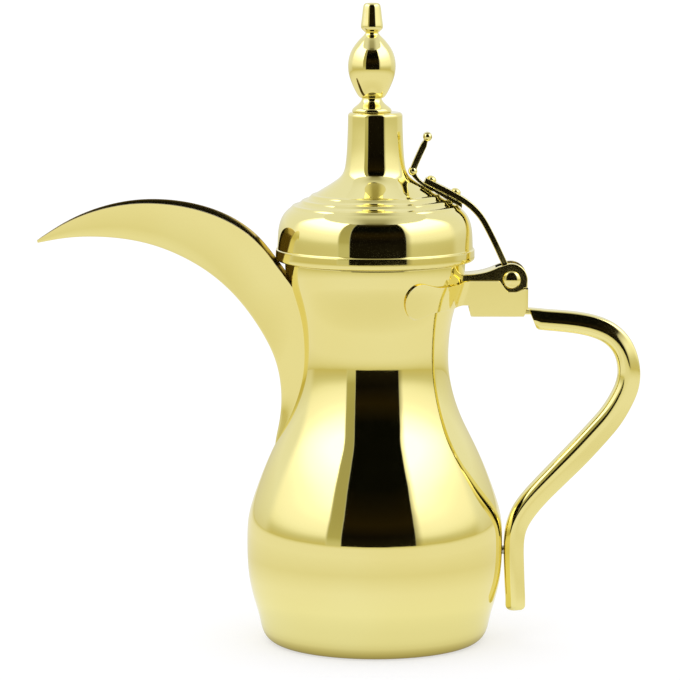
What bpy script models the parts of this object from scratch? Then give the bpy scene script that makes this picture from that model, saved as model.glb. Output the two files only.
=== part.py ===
# Dallah: a spout-and-handle coffee pot with a hinged, finial-topped lid.
# Units are millimetres; every mesh is scaled to metres when it is made.
# +Z is up, the spout points to -X, the handle to +X, and the origin is the
# centre of the flat base. "Front" is the spout side, "rear" the handle side.

import math
import bpy
import bmesh
from mathutils import Vector

for old in list(bpy.data.objects):
    bpy.data.objects.remove(old, do_unlink=True)

# ---------------------------------------------------------- shared dimensions
MM = 0.001
GAP = 0.3                 # clearance left between pieces that touch
SHEET = 1.0               # wall of the spun pot and lid
MOUTH_Z = 179.7           # top edge of the pot
BASE_LIP_R = 44.0         # inner edge of the turned-in foot

# Pot: control polygon (radius, z) of the spun belly, waist and neck.
BELLY = [
    (BASE_LIP_R, 0.0), (46.0, 0.0), (48.6, 0.0), (52.0, 2.7), (53.7, 6.9),
    (54.5, 12.2), (57.4, 21.0), (59.4, 30.0), (60.1, 39.5), (60.15, 49.0),
    (59.95, 57.5), (57.8, 66.0), (54.4, 75.5), (50.7, 85.0), (46.1, 94.8),
    (41.1, 104.3), (37.5, 113.8), (35.2, 123.0), (34.2, 132.0), (34.5, 142.0),
    (35.6, 151.5), (38.4, 161.5), (41.5, 170.5), (42.1, 176.5), (42.1, MOUTH_Z),
]

# Lid: control polygon (radius, z) of shoulder, slope and tower.
LID_SIDE = [
    (45.65, 185.9), (45.55, 188.4), (45.45, 191.0), (45.3, 193.6),
    (44.75, 197.2), (43.1, 201.5), (39.6, 204.9), (35.0, 207.1),
    (29.0, 210.6), (23.0, 214.3), (18.2, 217.3), (14.6, 220.4),
    (13.7, 225.5), (13.2, 231.0), (12.95, 237.0), (12.75, 243.0), (12.7, 247.2),
]
LID_SLOPE_Z = 199         # the slope lies above this height
TOWER_TOP_Z = 249.2

# Hinge.
PIN_X, PIN_Z = 63.5, 171.6
PIN_R = 2.0
PIN_HOLE_R = 2.2
CHANNEL_HALF = 8.2        # half width of the hinge channel

# The finial and its stud stand slightly towards the spout.
FINIAL_X = -1.6
STUD_HOLE_R = 2.15

# Rivet through the wall of the pot into the foot of the handle.
FOOT_RIVET_Z = 42.5
FOOT_RIVET_HOLE_R = 2.3

# Centre line (x, z) of the strap's outer face, from the lid down to the hinge.
STRAP_EDGE = [
    (23.7, 218.9), (26.0, 217.75), (31.1, 215.2), (37.0, 212.2), (42.3, 209.2),
    (46.1, 206.2), (49.1, 203.1), (51.5, 199.8), (53.6, 196.0), (55.6, 192.1),
    (57.6, 188.0), (59.5, 183.9), (61.3, 180.0), (63.0, 176.3), (64.6, 172.8),
]
STRAP_T = 2.8

# Segments round the turned solids.
SEG_BODY = 44
SEG_LID = 40
SEG_SMALL = 20
SEG_RIVET = 16

# Finishes: (base colour, roughness).
POLISHED = ((0.92, 0.82, 0.38), 0.07)
DULL = ((0.80, 0.76, 0.62), 0.25)
SPOUT_FINISH = ((0.93, 0.85, 0.50), 0.09)
CHANNEL_FINISH = ((0.88, 0.78, 0.36), 0.10)
PIN_FINISH = ((0.93, 0.85, 0.45), 0.08)
BRACKET_FINISH = ((0.88, 0.78, 0.40), 0.12)
HANDLE_FINISH = ((0.90, 0.82, 0.44), 0.09)
FOOT_RIVET_FINISH = ((0.86, 0.78, 0.44), 0.2)
LID_FINISH = ((0.93, 0.84, 0.42), 0.06)
STUD_FINISH = ((0.75, 0.74, 0.70), 0.3)
STRAP_FINISH = ((0.90, 0.80, 0.38), 0.08)
BURR_FINISH = ((0.8, 0.74, 0.5), 0.2)
STRAP_RIVET_FINISH = ((0.92, 0.84, 0.5), 0.1)


# ---------------------------------------------------------------- curve maths
def bspline(points, steps):
    """Cubic B-spline on a control polygon, passing through both its ends."""
    before = tuple(2 * a - b for a, b in zip(points[0], points[1]))
    after = tuple(2 * a - b for a, b in zip(points[-1], points[-2]))
    control = [before, *points, after]
    columns = range(len(before))
    curve = []
    for i in range(len(control) - 3):
        for k in range(steps):
            t = k / steps
            weights = ((1 - t) ** 3, 3 * t ** 3 - 6 * t * t + 4,
                       -3 * t ** 3 + 3 * t * t + 3 * t + 1, t ** 3)
            curve.append(tuple(sum(weights[j] * control[i + j][c] for j in range(4)) / 6
                               for c in columns))
    curve.append(tuple((control[-3][c] + 4 * control[-2][c] + control[-1][c]) / 6
                       for c in columns))
    return curve


def simplify(line, tol):
    """Drop the points that lie within tol of the chords between those kept."""
    if len(line) < 3:
        return line
    start, end = line[0], line[-1]
    dx, dz = end[0] - start[0], end[1] - start[1]
    length = math.hypot(dx, dz) or 1e-9
    farthest, split = -1.0, 0
    for i in range(1, len(line) - 1):
        distance = abs((line[i][0] - start[0]) * dz - (line[i][1] - start[1]) * dx) / length
        if distance > farthest:
            farthest, split = distance, i
    if farthest <= tol:
        return [start, end]
    return simplify(line[:split + 1], tol)[:-1] + simplify(line[split:], tol)


def normals_of(line):
    """Unit normals to the left of the direction of travel."""
    normals = []
    for i in range(len(line)):
        a, b = line[max(i - 1, 0)], line[min(i + 1, len(line) - 1)]
        dx, dz = b[0] - a[0], b[1] - a[1]
        length = math.hypot(dx, dz) or 1e-9
        normals.append((-dz / length, dx / length))
    return normals


def shifted(line, amount):
    """The line moved sideways, to the left of its direction."""
    return [(p[0] + n[0] * amount, p[1] + n[1] * amount)
            for p, n in zip(line, normals_of(line))]


def arc(cx, cz, radius, start, end, steps):
    """Points on a circle between two angles in degrees."""
    angles = [math.radians(start + (end - start) * k / steps) for k in range(steps + 1)]
    return [(cx + radius * math.cos(a), cz + radius * math.sin(a)) for a in angles]


def angle_from(cx, cz, point):
    """Direction of a point seen from (cx, cz), in degrees."""
    return math.degrees(math.atan2(point[1] - cz, point[0] - cx))


def lookup(line, value, key, want):
    """Linear look-up along a polyline: column `want` where column `key` = value."""
    for a, b in zip(line, line[1:]):
        low, high = sorted((a[key], b[key]))
        if low <= value <= high and high > low:
            t = (value - a[key]) / (b[key] - a[key])
            return a[want] + (b[want] - a[want]) * t
    return line[-1][want]


def smooth(start, end, value):
    """Smooth step: 0 at start, 1 at end."""
    t = max(0.0, min(1.0, (value - start) / (end - start)))
    return t * t * (3 - 2 * t)


BELLY_LINE = bspline(BELLY, 24)
LID_LINE = bspline(LID_SIDE, 24)
STRAP_LINE = bspline(STRAP_EDGE, 24)


def pot_radius(z):
    """Outer radius of the pot's wall, leaving out the flat foot."""
    return lookup([p for p in BELLY_LINE if p[1] > 0.5], z, key=1, want=0)


def lid_height(x):
    """Height of the lid's outside on its slope."""
    return lookup([p for p in LID_LINE if p[1] > LID_SLOPE_Z], x, key=0, want=1)


# --------------------------------------------------------------- mesh helpers
# A solid is a pair (verts, faces), in millimetres.
HINGE = bpy.data.objects.new("lid_hinge_axis", None)
HINGE.location = Vector((PIN_X, 0, PIN_Z)) * MM
bpy.context.scene.collection.objects.link(HINGE)


def metal(name, colour, roughness):
    mat = bpy.data.materials.new(name)
    mat.use_nodes = True
    inputs = mat.node_tree.nodes["Principled BSDF"].inputs
    inputs["Base Color"].default_value = (*colour, 1)
    inputs["Roughness"].default_value = roughness
    inputs["Metallic"].default_value = 1.0
    mat.diffuse_color = (*colour, 1)
    return mat


def make(name, solid, finish=POLISHED, lid=False, sharp=35):
    """One object from a solid; lid pieces hang on the hinge. Edges that turn
    by more than `sharp` degrees are shaded sharp."""
    points, faces = solid
    bm = bmesh.new()
    verts = [bm.verts.new(Vector(p) * MM) for p in points]
    for face in faces:
        bm.faces.new([verts[i] for i in face])
    if lid:
        bmesh.ops.translate(bm, verts=bm.verts, vec=-HINGE.location)
    bmesh.ops.recalc_face_normals(bm, faces=bm.faces)
    mesh = bpy.data.meshes.new(name)
    bm.to_mesh(mesh)
    bm.free()
    mesh.shade_smooth()
    mesh.set_sharp_from_angle(angle=math.radians(sharp))
    obj = bpy.data.objects.new(name, mesh)
    bpy.context.scene.collection.objects.link(obj)
    colour, roughness = finish
    mesh.materials.append(metal(name, colour=colour, roughness=roughness))
    if lid:
        obj.parent = HINGE
    return obj


def turned(outline, seg, centre_x=0.0):
    """Closed (r, z) outline turned about Z. Points on the axis become poles."""
    verts, rings, faces = [], [], []
    for r, z in outline:
        if r < 1e-6:
            rings.append([len(verts)])
            verts.append((centre_x, 0.0, z))
        else:
            rings.append(list(range(len(verts), len(verts) + seg)))
            for k in range(seg):
                angle = 2 * math.pi * (k + 0.5) / seg
                verts.append((centre_x + r * math.cos(angle), r * math.sin(angle), z))
    for a, b in zip(rings, rings[1:] + rings[:1]):
        if len(a) == 1 and len(b) == 1:
            continue
        for k in range(seg):
            k2 = (k + 1) % seg
            if len(a) == 1:
                faces.append((a[0], b[k], b[k2]))
            elif len(b) == 1:
                faces.append((a[k], b[0], a[k2]))
            else:
                faces.append((a[k], b[k], b[k2], a[k2]))
    return verts, faces


def placed(solid, origin, axis, side):
    """Move a solid so its Z lies along `axis`, its X along `side`."""
    verts, faces = solid
    up = Vector(axis).normalized()
    local_x = Vector(side).normalized()
    local_y = up.cross(local_x)
    start = Vector(origin)
    moved = [tuple(start + local_x * x + local_y * y + up * z) for x, y, z in verts]
    return moved, faces


def rod(start, axis, radius, length, seg, side=(0, 1, 0)):
    outline = [(0, 0), (radius, 0), (radius, length), (0, length)]
    return placed(turned(outline, seg), start, axis, side)


def prism(outline, half):
    """Side-view outline (x, z) extruded from y = -half to y = half."""
    n = len(outline)
    verts = [(x, -half, z) for x, z in outline] + [(x, half, z) for x, z in outline]
    faces = [tuple(range(n)), tuple(range(2 * n - 1, n - 1, -1))]
    for i in range(n):
        j = (i + 1) % n
        faces.append((i, i + n, j + n, j))
    return verts, faces


def loft(sections):
    """Closed rings joined in order, with a cap at each end."""
    m = len(sections[0])
    verts = [p for section in sections for p in section]
    faces = []
    for i in range(len(sections) - 1):
        for k in range(m):
            k2 = (k + 1) % m
            faces.append((i * m + k, i * m + k2, (i + 1) * m + k2, (i + 1) * m + k))
    faces.append(tuple(range(m)))
    last = (len(sections) - 1) * m
    faces.append(tuple(range(last + m - 1, last - 1, -1)))
    return verts, faces


def sheet(face_a, face_b):
    """Two matching grids of points, joined round their edges: a closed sheet."""
    rows, cols = len(face_a), len(face_a[0])
    verts = [p for row in face_a for p in row] + [p for row in face_b for p in row]
    offset = rows * cols
    faces = []
    for i in range(rows - 1):
        for j in range(cols - 1):
            a, b = i * cols + j, i * cols + j + 1
            c, d = (i + 1) * cols + j + 1, (i + 1) * cols + j
            faces.append((a, b, c, d))
            faces.append((offset + a, offset + d, offset + c, offset + b))
    rim = [(0, j) for j in range(cols)] + [(i, cols - 1) for i in range(1, rows)]
    rim += [(rows - 1, j) for j in range(cols - 2, -1, -1)]
    rim += [(i, 0) for i in range(rows - 2, 0, -1)]
    ids = [i * cols + j for i, j in rim]
    for a, b in zip(ids, ids[1:] + ids[:1]):
        faces.append((a, offset + a, offset + b, b))
    return verts, faces


def cutter(name, *solids):
    """A helper hidden in renders, made of one or more closed solids."""
    verts, faces = [], []
    for points, polygons in solids:
        base = len(verts)
        verts += points
        faces += [tuple(i + base for i in polygon) for polygon in polygons]
    obj = make(name, (verts, faces))
    obj.hide_render = True
    obj.display_type = 'WIRE'
    return obj


def cut(obj, tool):
    mod = obj.modifiers.new("cut_" + tool.name, 'BOOLEAN')
    mod.operation = 'DIFFERENCE'
    mod.solver = 'EXACT'
    mod.object = tool


# ------------------------------------------------------------------------ pot
STRAINER_Z = [122.0 + 8.0 * i for i in range(5)]
STRAINER_PITCH = 4.2      # across; alternate rows are staggered by half of it
STRAINER_R = 1.6
STRAINER_START_X, STRAINER_LENGTH = -60, 35
WALL_BORE_START_X, WALL_BORE_LENGTH = 42.5, 25

BASE_FLANGE_R = 46.4      # base disc, part that lies on the foot
BASE_FLANGE_Z = 1.4
BASE_TOP_Z = 2.4
TRIM_TOP_Z = 186


def build_body():
    outer = simplify(BELLY_LINE, tol=0.15)
    inner = simplify(shifted(BELLY_LINE, SHEET), tol=0.28)
    inner[0] = (BASE_LIP_R, SHEET)
    inner[-1] = (BELLY[-1][0] - SHEET, MOUTH_Z)
    body = make("body_shell", turned(outer + inner[::-1], SEG_BODY))

    # Strainer holes inside the root of the spout, then the foot rivet's hole.
    holes = []
    for i, z in enumerate(STRAINER_Z):
        offsets = (-1, 0, 1) if i % 2 == 0 else (-0.5, 0.5)
        for offset in offsets:
            start = (STRAINER_START_X, offset * STRAINER_PITCH, z)
            holes.append(rod(start, (1, 0, 0), STRAINER_R, STRAINER_LENGTH, 8))
    holes.append(rod((WALL_BORE_START_X, 0, FOOT_RIVET_Z), (1, 0, 0),
                     FOOT_RIVET_HOLE_R, WALL_BORE_LENGTH, SEG_RIVET))
    cut(body, cutter("body_holes", *holes))


def build_base_disc():
    plug_r = BASE_LIP_R - GAP
    outline = [(0, 0), (plug_r, 0), (plug_r, BASE_FLANGE_Z),
               (BASE_FLANGE_R, BASE_FLANGE_Z), (BASE_FLANGE_R, BASE_TOP_Z), (0, BASE_TOP_Z)]
    make("base_disc", turned(outline, SEG_BODY), DULL)


def pot_trim_cutter():
    """The pot's outside plus the clearance: trims the spout and hinge channel."""
    grown = simplify(shifted(BELLY_LINE, -GAP), tol=0.05)
    outline = [(0, grown[0][1])] + grown + [(grown[-1][0], TRIM_TOP_Z), (0, TRIM_TOP_Z)]
    return cutter("pot_trim", turned(outline, 96))


# ---------------------------------------------------------------------- spout
# Rows from root to tip: free edge x, z, keel x, z, half width. The first rows
# start inside the pot's wall, so the trough flares on to the waist.
SPOUT = [
    (-40.0, 91.0, -46.3, 84.5, 5.0), (-33.0, 105.0, -47.6, 92.5, 8.2),
    (-29.0, 122.0, -44.5, 104.0, 10.2), (-27.5, 139.0, -43.6, 116.5, 11.5),
    (-30.5, 154.6, -45.2, 128.8, 12.3), (-36.4, 166.0, -48.6, 138.2, 12.9),
    (-43.2, 174.9, -53.2, 146.6, 13.3), (-49.8, 184.2, -58.8, 155.2, 13.6),
    (-57.4, 192.7, -66.6, 164.9, 13.7), (-69.0, 200.3, -77.8, 174.8, 13.5),
    (-83.5, 205.4, -91.0, 182.4, 12.9), (-99.0, 207.75, -104.0, 187.5, 11.6),
    (-115.0, 207.5, -117.5, 190.3, 9.7), (-131.0, 203.8, -131.0, 191.2, 7.3),
    (-145.0, 197.8, -144.0, 190.8, 4.3), (-157.8, 189.3, -157.6, 188.1, 0.9),
]
SPOUT_T = 0.9
SPOUT_COLS = 5            # steps from the keel to each free edge


def build_spout(pot_trim):
    """Parabolic trough: keel at s = 0, free edges at s = +-1."""
    outer, inner = [], []
    for edge_x, edge_z, keel_x, keel_z, half in bspline(SPOUT, 1):
        outer_row, inner_row = [], []
        dx, dz = edge_x - keel_x, edge_z - keel_z
        height = math.hypot(dx, dz)
        # The wall thins where the trough is too small for its full thickness.
        wall = min(SPOUT_T, 0.62 * half, 0.45 * height)
        for j in range(-SPOUT_COLS, SPOUT_COLS + 1):
            s = j / SPOUT_COLS
            outer_row.append((keel_x + dx * s * s, half * s, keel_z + dz * s * s))
            # (normal_y, half) is the inward normal of the parabola.
            normal_y = -2 * height * s
            length = math.hypot(normal_y, half)
            y = half * s + normal_y / length * wall
            if abs(j) == SPOUT_COLS:
                rise = height
            else:
                rise = height * s * s + half / length * wall
            inner_row.append((keel_x + dx / height * rise, y, keel_z + dz / height * rise))
        outer.append(outer_row)
        inner.append(inner_row)
    spout = make("spout", sheet(outer, inner), SPOUT_FINISH, sharp=50)
    cut(spout, pot_trim)


# ---------------------------------------------------------------------- hinge
EAR_R = 7.5               # rounded ears of the hinge channel
EAR_START = 118           # degrees, where the ear's arc begins
CHANNEL_WALL = 1.5
CHANNEL_REAR_X = 69.3
# Side-view points (x, z) of the channel's top and of the pocket below it.
CHANNEL_TOP = [(38.0, 173.9), (45.0, 174.0), (51.0, 174.9), (55.0, 176.3)]
POCKET_TOP = [(34.0, 172.4), (45.0, 172.5), (51.4, 173.4), (55.6, 174.9)]
CHANNEL_LOW_Z, POCKET_LOW_Z = 160.3, 158.0
EAR_LOW_Z, POCKET_EAR_LOW_Z = 167.8, 167.0
# Slot that the lid strap swings in.
SLOT = [(56.2, 170.0), (56.2, 184.0), (75.0, 184.0), (75.0, 165.6), (66.0, 165.6)]
SLOT_HALF = 4.5
PIN_HEAD_R = 4.2
PIN_HEAD_T = 1.7
PIN_BORE_HALF = 12


def pin_bore_cutter(name):
    return cutter(name, rod((PIN_X, -PIN_BORE_HALF, PIN_Z), (0, 1, 0), PIN_HOLE_R,
                            2 * PIN_BORE_HALF, SEG_SMALL, side=(1, 0, 0)))


def build_hinge_channel(pot_trim):
    outline = CHANNEL_TOP + arc(PIN_X, PIN_Z, EAR_R, EAR_START, 0, 12)
    outline += [(PIN_X + EAR_R, EAR_LOW_Z), (CHANNEL_REAR_X, EAR_LOW_Z),
                (CHANNEL_REAR_X, CHANNEL_LOW_Z), (CHANNEL_TOP[0][0], CHANNEL_LOW_Z)]
    channel = make("hinge_channel", prism(outline, CHANNEL_HALF), CHANNEL_FINISH)
    pocket_rear_x = CHANNEL_REAR_X - CHANNEL_WALL
    pocket = POCKET_TOP + arc(PIN_X, PIN_Z, EAR_R - CHANNEL_WALL, EAR_START, 0, 12)
    pocket += [(pocket_rear_x, POCKET_EAR_LOW_Z), (pocket_rear_x, POCKET_LOW_Z),
               (POCKET_TOP[0][0], POCKET_LOW_Z)]
    cut(channel, cutter("channel_pocket", prism(pocket, CHANNEL_HALF - CHANNEL_WALL)))
    cut(channel, cutter("channel_slot", prism(SLOT, SLOT_HALF)))
    cut(channel, pin_bore_cutter("pin_bore"))
    cut(channel, pot_trim)


def build_hinge_pin():
    """Pin with a domed head outside each ear."""
    head_y = CHANNEL_HALF + GAP
    dome = [(PIN_HEAD_R * math.cos(math.radians(a)),
             head_y + PIN_HEAD_T * math.sin(math.radians(a)))
            for a in (0, 18, 36, 54, 72)] + [(0, head_y + PIN_HEAD_T)]
    outline = [(r, -z) for r, z in dome[::-1]]
    outline += [(PIN_R, -head_y), (PIN_R, head_y)] + dome
    make("hinge_pin", placed(turned(outline, SEG_SMALL), (PIN_X, 0, PIN_Z),
                             axis=(0, 1, 0), side=(1, 0, 0)), PIN_FINISH)


# ------------------------------------------------------------- handle bracket
# One folded sheet: neck wings, two cheeks and a rear web.
BRACKET_T = 1.2
CHEEK_Y = CHANNEL_HALF + GAP     # inner face of a cheek
BRACKET_X = 71.3                 # outer face of the rear web
NECK_FOLD_R = 5.0                # fold from wing to cheek
REAR_FOLD_R = 0.9                # inner radius, fold from cheek to web
NECK_R = 39.8                    # nominal, turns angles into arc lengths
EDGE_Z = 163.0                   # height at which the edges are laid out
WING_LOW, WING_TOP = 158.6, 170.3
CHEEK_LOW, CHEEK_TOP = 159.8, 171.2
BRACKET_LOW = 154.5
WEB_LOW, WEB_TOP = 157.7, 167.3
PAD_ANGLE = 56.0                 # pad centre, degrees from +X round the neck
PAD_R = 10.0
PAD_Z = 164.6
PAD_TOP_LIMIT = 173.2

# Where each part ends along one half of the plan, s = 0..1.
WING_END, NECK_FOLD_END, CHEEK_END, REAR_FOLD_END = 0.45, 0.55, 0.85, 0.92
BRACKET_ROWS = 3
BRACKET_STATIONS = [
    0.0, 0.004, 0.014, 0.03, 0.055, 0.09, 0.13, 0.18, 0.24, 0.30, 0.36, 0.41,
    0.45, 0.47, 0.49, 0.51, 0.53, 0.55, 0.575, 0.605, 0.66, 0.70, 0.72,
    0.735, 0.75, 0.765, 0.78, 0.80, 0.82, 0.85, 0.867, 0.885, 0.902, 0.92, 0.96, 1.0,
]


def bracket_point(s, z, depth):
    """Plan point (x, y) on the -Y half of the sheet; depth is the distance
    outwards from the sheet's inner face."""
    wing_r = pot_radius(z) + GAP + depth
    cheek_y = CHEEK_Y + depth
    fold = NECK_FOLD_R - depth
    fold_y = cheek_y + fold
    fold_x = math.sqrt((wing_r + fold) ** 2 - fold_y ** 2)
    wing_end = math.asin(fold_y / (wing_r + fold))
    if s <= WING_END:
        start = math.radians(PAD_ANGLE) + PAD_R / NECK_R
        angle = start + (wing_end - start) * (s / WING_END)
        return wing_r * math.cos(angle), -wing_r * math.sin(angle)
    if s <= NECK_FOLD_END:
        t = (s - WING_END) / (NECK_FOLD_END - WING_END)
        start = math.pi / 2 + (math.pi / 2 - wing_end)    # pointing back to the axis
        angle = start + (math.pi / 2 - start) * t
        return fold_x + fold * math.cos(angle), -(fold_y - fold * math.sin(angle))
    rear_x = BRACKET_X - BRACKET_T + depth
    rear_r = REAR_FOLD_R + depth
    if s <= CHEEK_END:
        t = (s - NECK_FOLD_END) / (CHEEK_END - NECK_FOLD_END)
        return fold_x + (rear_x - rear_r - fold_x) * t, -cheek_y
    if s <= REAR_FOLD_END:
        angle = math.pi / 2 * (s - CHEEK_END) / (REAR_FOLD_END - CHEEK_END)
        return (rear_x - rear_r + rear_r * math.sin(angle),
                -(cheek_y - rear_r + rear_r * math.cos(angle)))
    t = (s - REAR_FOLD_END) / (1 - REAR_FOLD_END)
    return rear_x, -(cheek_y - rear_r) * (1 - t)


def bracket_edges(s):
    """Lowest and highest point of the sheet at s."""
    x, y = bracket_point(s, EDGE_Z, 0.0)
    if s <= WING_END:
        # Rounded pad at the wing's end, blending into a band.
        from_pad = math.radians(math.degrees(math.atan2(-y, x)) - PAD_ANGLE) * NECK_R
        half = PAD_R
        if from_pad > -2.0:
            half = math.sqrt(max(PAD_R ** 2 - from_pad ** 2, 0.5))
        band = smooth(8.0, -9.0, from_pad)
        low = (PAD_Z - half) * (1 - band) + WING_LOW * band
        top = (PAD_Z + half * 0.92) * (1 - band) + WING_TOP * band
        return low, min(top, PAD_TOP_LIMIT)
    if s <= NECK_FOLD_END:
        t = (s - WING_END) / (NECK_FOLD_END - WING_END)
        return WING_LOW + (CHEEK_LOW - WING_LOW) * t, WING_TOP + (CHEEK_TOP - WING_TOP) * t
    if s <= CHEEK_END:
        # The lower edge steps down; the upper one dips, then rises to the web.
        low = CHEEK_LOW - (CHEEK_LOW - BRACKET_LOW) * smooth(0.575, 0.605, s)
        top = CHEEK_TOP - 5.2 * smooth(56.0, 62.2, x) + 1.3 * smooth(65.0, 69.6, x)
        return low, top
    if s <= REAR_FOLD_END:
        return BRACKET_LOW + (WEB_LOW - BRACKET_LOW) * smooth(CHEEK_END, 0.88, s), WEB_TOP
    return WEB_LOW, WEB_TOP


def bracket_grid(depth):
    half = []
    for s in BRACKET_STATIONS:
        low, top = bracket_edges(s)
        heights = [low + (top - low) * j / BRACKET_ROWS for j in range(BRACKET_ROWS + 1)]
        half.append([(*bracket_point(s, z, depth), z) for z in heights])
    return half + [[(x, -y, z) for x, y, z in column] for column in half[-2::-1]]


def build_bracket():
    make("handle_bracket", sheet(bracket_grid(0.0), bracket_grid(BRACKET_T)), BRACKET_FINISH)


# --------------------------------------------------------------------- handle
# Centre line from top to foot: x, z, thickness in its plane.
HANDLE = [
    (76.5, 152.4, 9.8), (79.3, 152.0, 9.7), (88.2, 151.4, 9.9), (98.5, 150.2, 10.1),
    (107.6, 147.4, 10.3), (113.6, 143.0, 10.2), (117.7, 136.7, 10.2),
    (119.4, 128.2, 10.5), (118.8, 122.0, 10.9), (117.2, 117.2, 11.1),
    (114.0, 111.0, 11.3), (110.2, 105.1, 11.7), (105.5, 99.7, 11.9),
    (100.7, 94.3, 12.0), (95.2, 88.3, 12.0), (89.5, 82.5, 11.8), (83.9, 76.8, 11.5),
    (78.3, 71.1, 11.2), (73.0, 65.2, 11.2), (68.9, 59.4, 10.9), (66.3, 53.2, 9.9),
    (65.4, 46.5, 9.6), (65.6, 38.0, 9.6), (65.95, 28.0, 9.55), (66.4, 19.6, 9.45),
]
HANDLE_W = 11.0
HANDLE_END_Z = 13.9
HANDLE_END_R = 2.6
TANG_Z = (154.8, 157.1)
# Tang between the cheeks: x, width, slant of the section (x per unit of z).
TANG = [(56.0, 16.3, 0.0), (68.9, 16.3, 0.0), (70.1, 8.6, 0.0), (73.0, 8.6, 0.42)]
BEVEL_SLANT = 0.42        # slant of the handle's upper end
FOOT_BORE_START_X, FOOT_BORE_LENGTH = 55.0, 11.5
FOOT_RIVET_R = 2.0
FOOT_RIVET_END_X = 66.0


def rounded(width, height, power=3.2):
    """Rounded-rectangle ring of 16 points, `width` across and `height` in the plane."""
    ring = []
    for k in range(16):
        angle = 2 * math.pi * (k + 0.5) / 16
        c, s = math.cos(angle), math.sin(angle)
        reach = (abs(c) ** power + abs(s) ** power) ** (-1 / power)
        ring.append((width / 2 * c * reach, height / 2 * s * reach))
    return ring


def handle_sections():
    tang_mid = (TANG_Z[0] + TANG_Z[1]) / 2
    tang_t = TANG_Z[1] - TANG_Z[0]
    sections = [[(x - slant * (h + tang_mid - 154.6), y, tang_mid + h)
                 for y, h in rounded(width, tang_t, power=8)]
                for x, width, slant in TANG]

    # Bevelled upper end, then the sections square to the centre line.
    line = bspline(HANDLE, 1)
    _, z, thickness = line[0]
    sections.append([(74.0 - BEVEL_SLANT * (z + 0.3 + h - 152.2), y, z + 0.3 + h)
                     for y, h in rounded(HANDLE_W, thickness)])
    for (x, z, thickness), (nx, nz) in list(zip(line, normals_of(line)))[1:]:
        sections.append([(x + nx * h, y, z + nz * h) for y, h in rounded(HANDLE_W, thickness)])

    # Blunt foot with rounded corners.
    x, _, thickness = line[-1]
    for k in range(4):
        angle = math.pi / 2 * k / 3
        inset = HANDLE_END_R * (1 - math.cos(angle))
        z = HANDLE_END_Z + HANDLE_END_R * (1 - math.sin(angle))
        sections.append([(x + h * (thickness - 2 * inset) / thickness,
                          y * (HANDLE_W - 2 * inset) / HANDLE_W, z)
                         for y, h in rounded(HANDLE_W, thickness)])
    return sections


def build_handle():
    handle = make("handle", loft(handle_sections()), HANDLE_FINISH, sharp=50)
    cut(handle, cutter("handle_bore", rod((FOOT_BORE_START_X, 0, FOOT_RIVET_Z), (1, 0, 0),
                                          FOOT_RIVET_HOLE_R, FOOT_BORE_LENGTH, SEG_RIVET)))


def build_foot_rivet():
    """Rivet with its head inside the pot and its shank in the handle's foot."""
    # 0.35 more than the clearance, for the curve of the wall under the head.
    seat_x = pot_radius(FOOT_RIVET_Z) - SHEET - GAP - 0.35
    shank = FOOT_RIVET_END_X - seat_x
    outline = [(0, -1.6), (1.6, -1.5), (3.0, -1.0), (3.8, 0.0), (FOOT_RIVET_R, 0.0),
               (FOOT_RIVET_R, shank), (0, shank)]
    make("handle_foot_rivet", placed(turned(outline, SEG_RIVET), (seat_x, 0, FOOT_RIVET_Z),
                                     axis=(1, 0, 0), side=(0, 1, 0)), FOOT_RIVET_FINISH)


# ------------------------------------------------------------------------ lid
LID_RIM_R = 46.4
LID_BOTTOM_Z = 180.1
LID_LIP_R = 44.2
LID_RINGS = (38.2, 33.7, 29.4)   # radii of the raised rings on the slope
RING_HEIGHT = 0.45
RING_WIDTH = 0.85
TOWER_R = LID_SIDE[-1][0]
TOWER_EDGE_R = 1.6               # rounding of the tower's top edge

LINER_T = 0.8
LINER_PLUG_R = 39.4              # plug skirt that drops into the mouth
LINER_PLUG_Z = 174.6
LINER_FLANGE_Z = MOUTH_Z + GAP
LINER_STEP_R = 43.8
LINER_EDGE_R, LINER_EDGE_Z = 44.8, 181.5


def lid_outside():
    line = []
    for r, z in bspline(LID_SIDE, 40):
        lift = 0.0
        if z > LID_SLOPE_Z:
            lift = sum(RING_HEIGHT * math.exp(-((r - c) / RING_WIDTH) ** 2)
                       for c in LID_RINGS)
        # Lifted about square to the slope.
        line.append((r + 0.5 * lift, z + 0.86 * lift))
    rim = [(LID_LIP_R, LID_BOTTOM_Z), (45.5, LID_BOTTOM_Z + 0.05),
           (46.2, LID_BOTTOM_Z + 0.6), (LID_RIM_R, LID_BOTTOM_Z + 1.9),
           (LID_RIM_R, 185.2), (46.1, 185.7)]
    top = arc(TOWER_R - TOWER_EDGE_R, TOWER_TOP_Z - TOWER_EDGE_R, TOWER_EDGE_R, 10, 90, 4)
    return rim + simplify(line, tol=0.13) + top + [(0.0, TOWER_TOP_Z)]


def lid_inside():
    ceiling = TOWER_TOP_Z - SHEET
    side = simplify(shifted(LID_LINE, SHEET), tol=0.3)
    # The side stops short of the tower's rounded ceiling.
    side = [p for p in side if p[1] < 246.5]
    return [(LID_LIP_R, LID_BOTTOM_Z + SHEET), (44.9, LID_BOTTOM_Z + 1.15), (45.3, 182.0),
            *side, (TOWER_R - SHEET, ceiling - 1.4), (10.4, ceiling), (0.0, ceiling)]


def build_lid_shell():
    shell = make("lid_shell", turned(lid_outside() + lid_inside()[::-1], SEG_LID),
                 LID_FINISH, lid=True)
    cut(shell, cutter("stud_bore", rod((FINIAL_X, 0, 240), (0, 0, 1), STUD_HOLE_R, 14,
                                       SEG_SMALL, side=(1, 0, 0))))
    return shell


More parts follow.
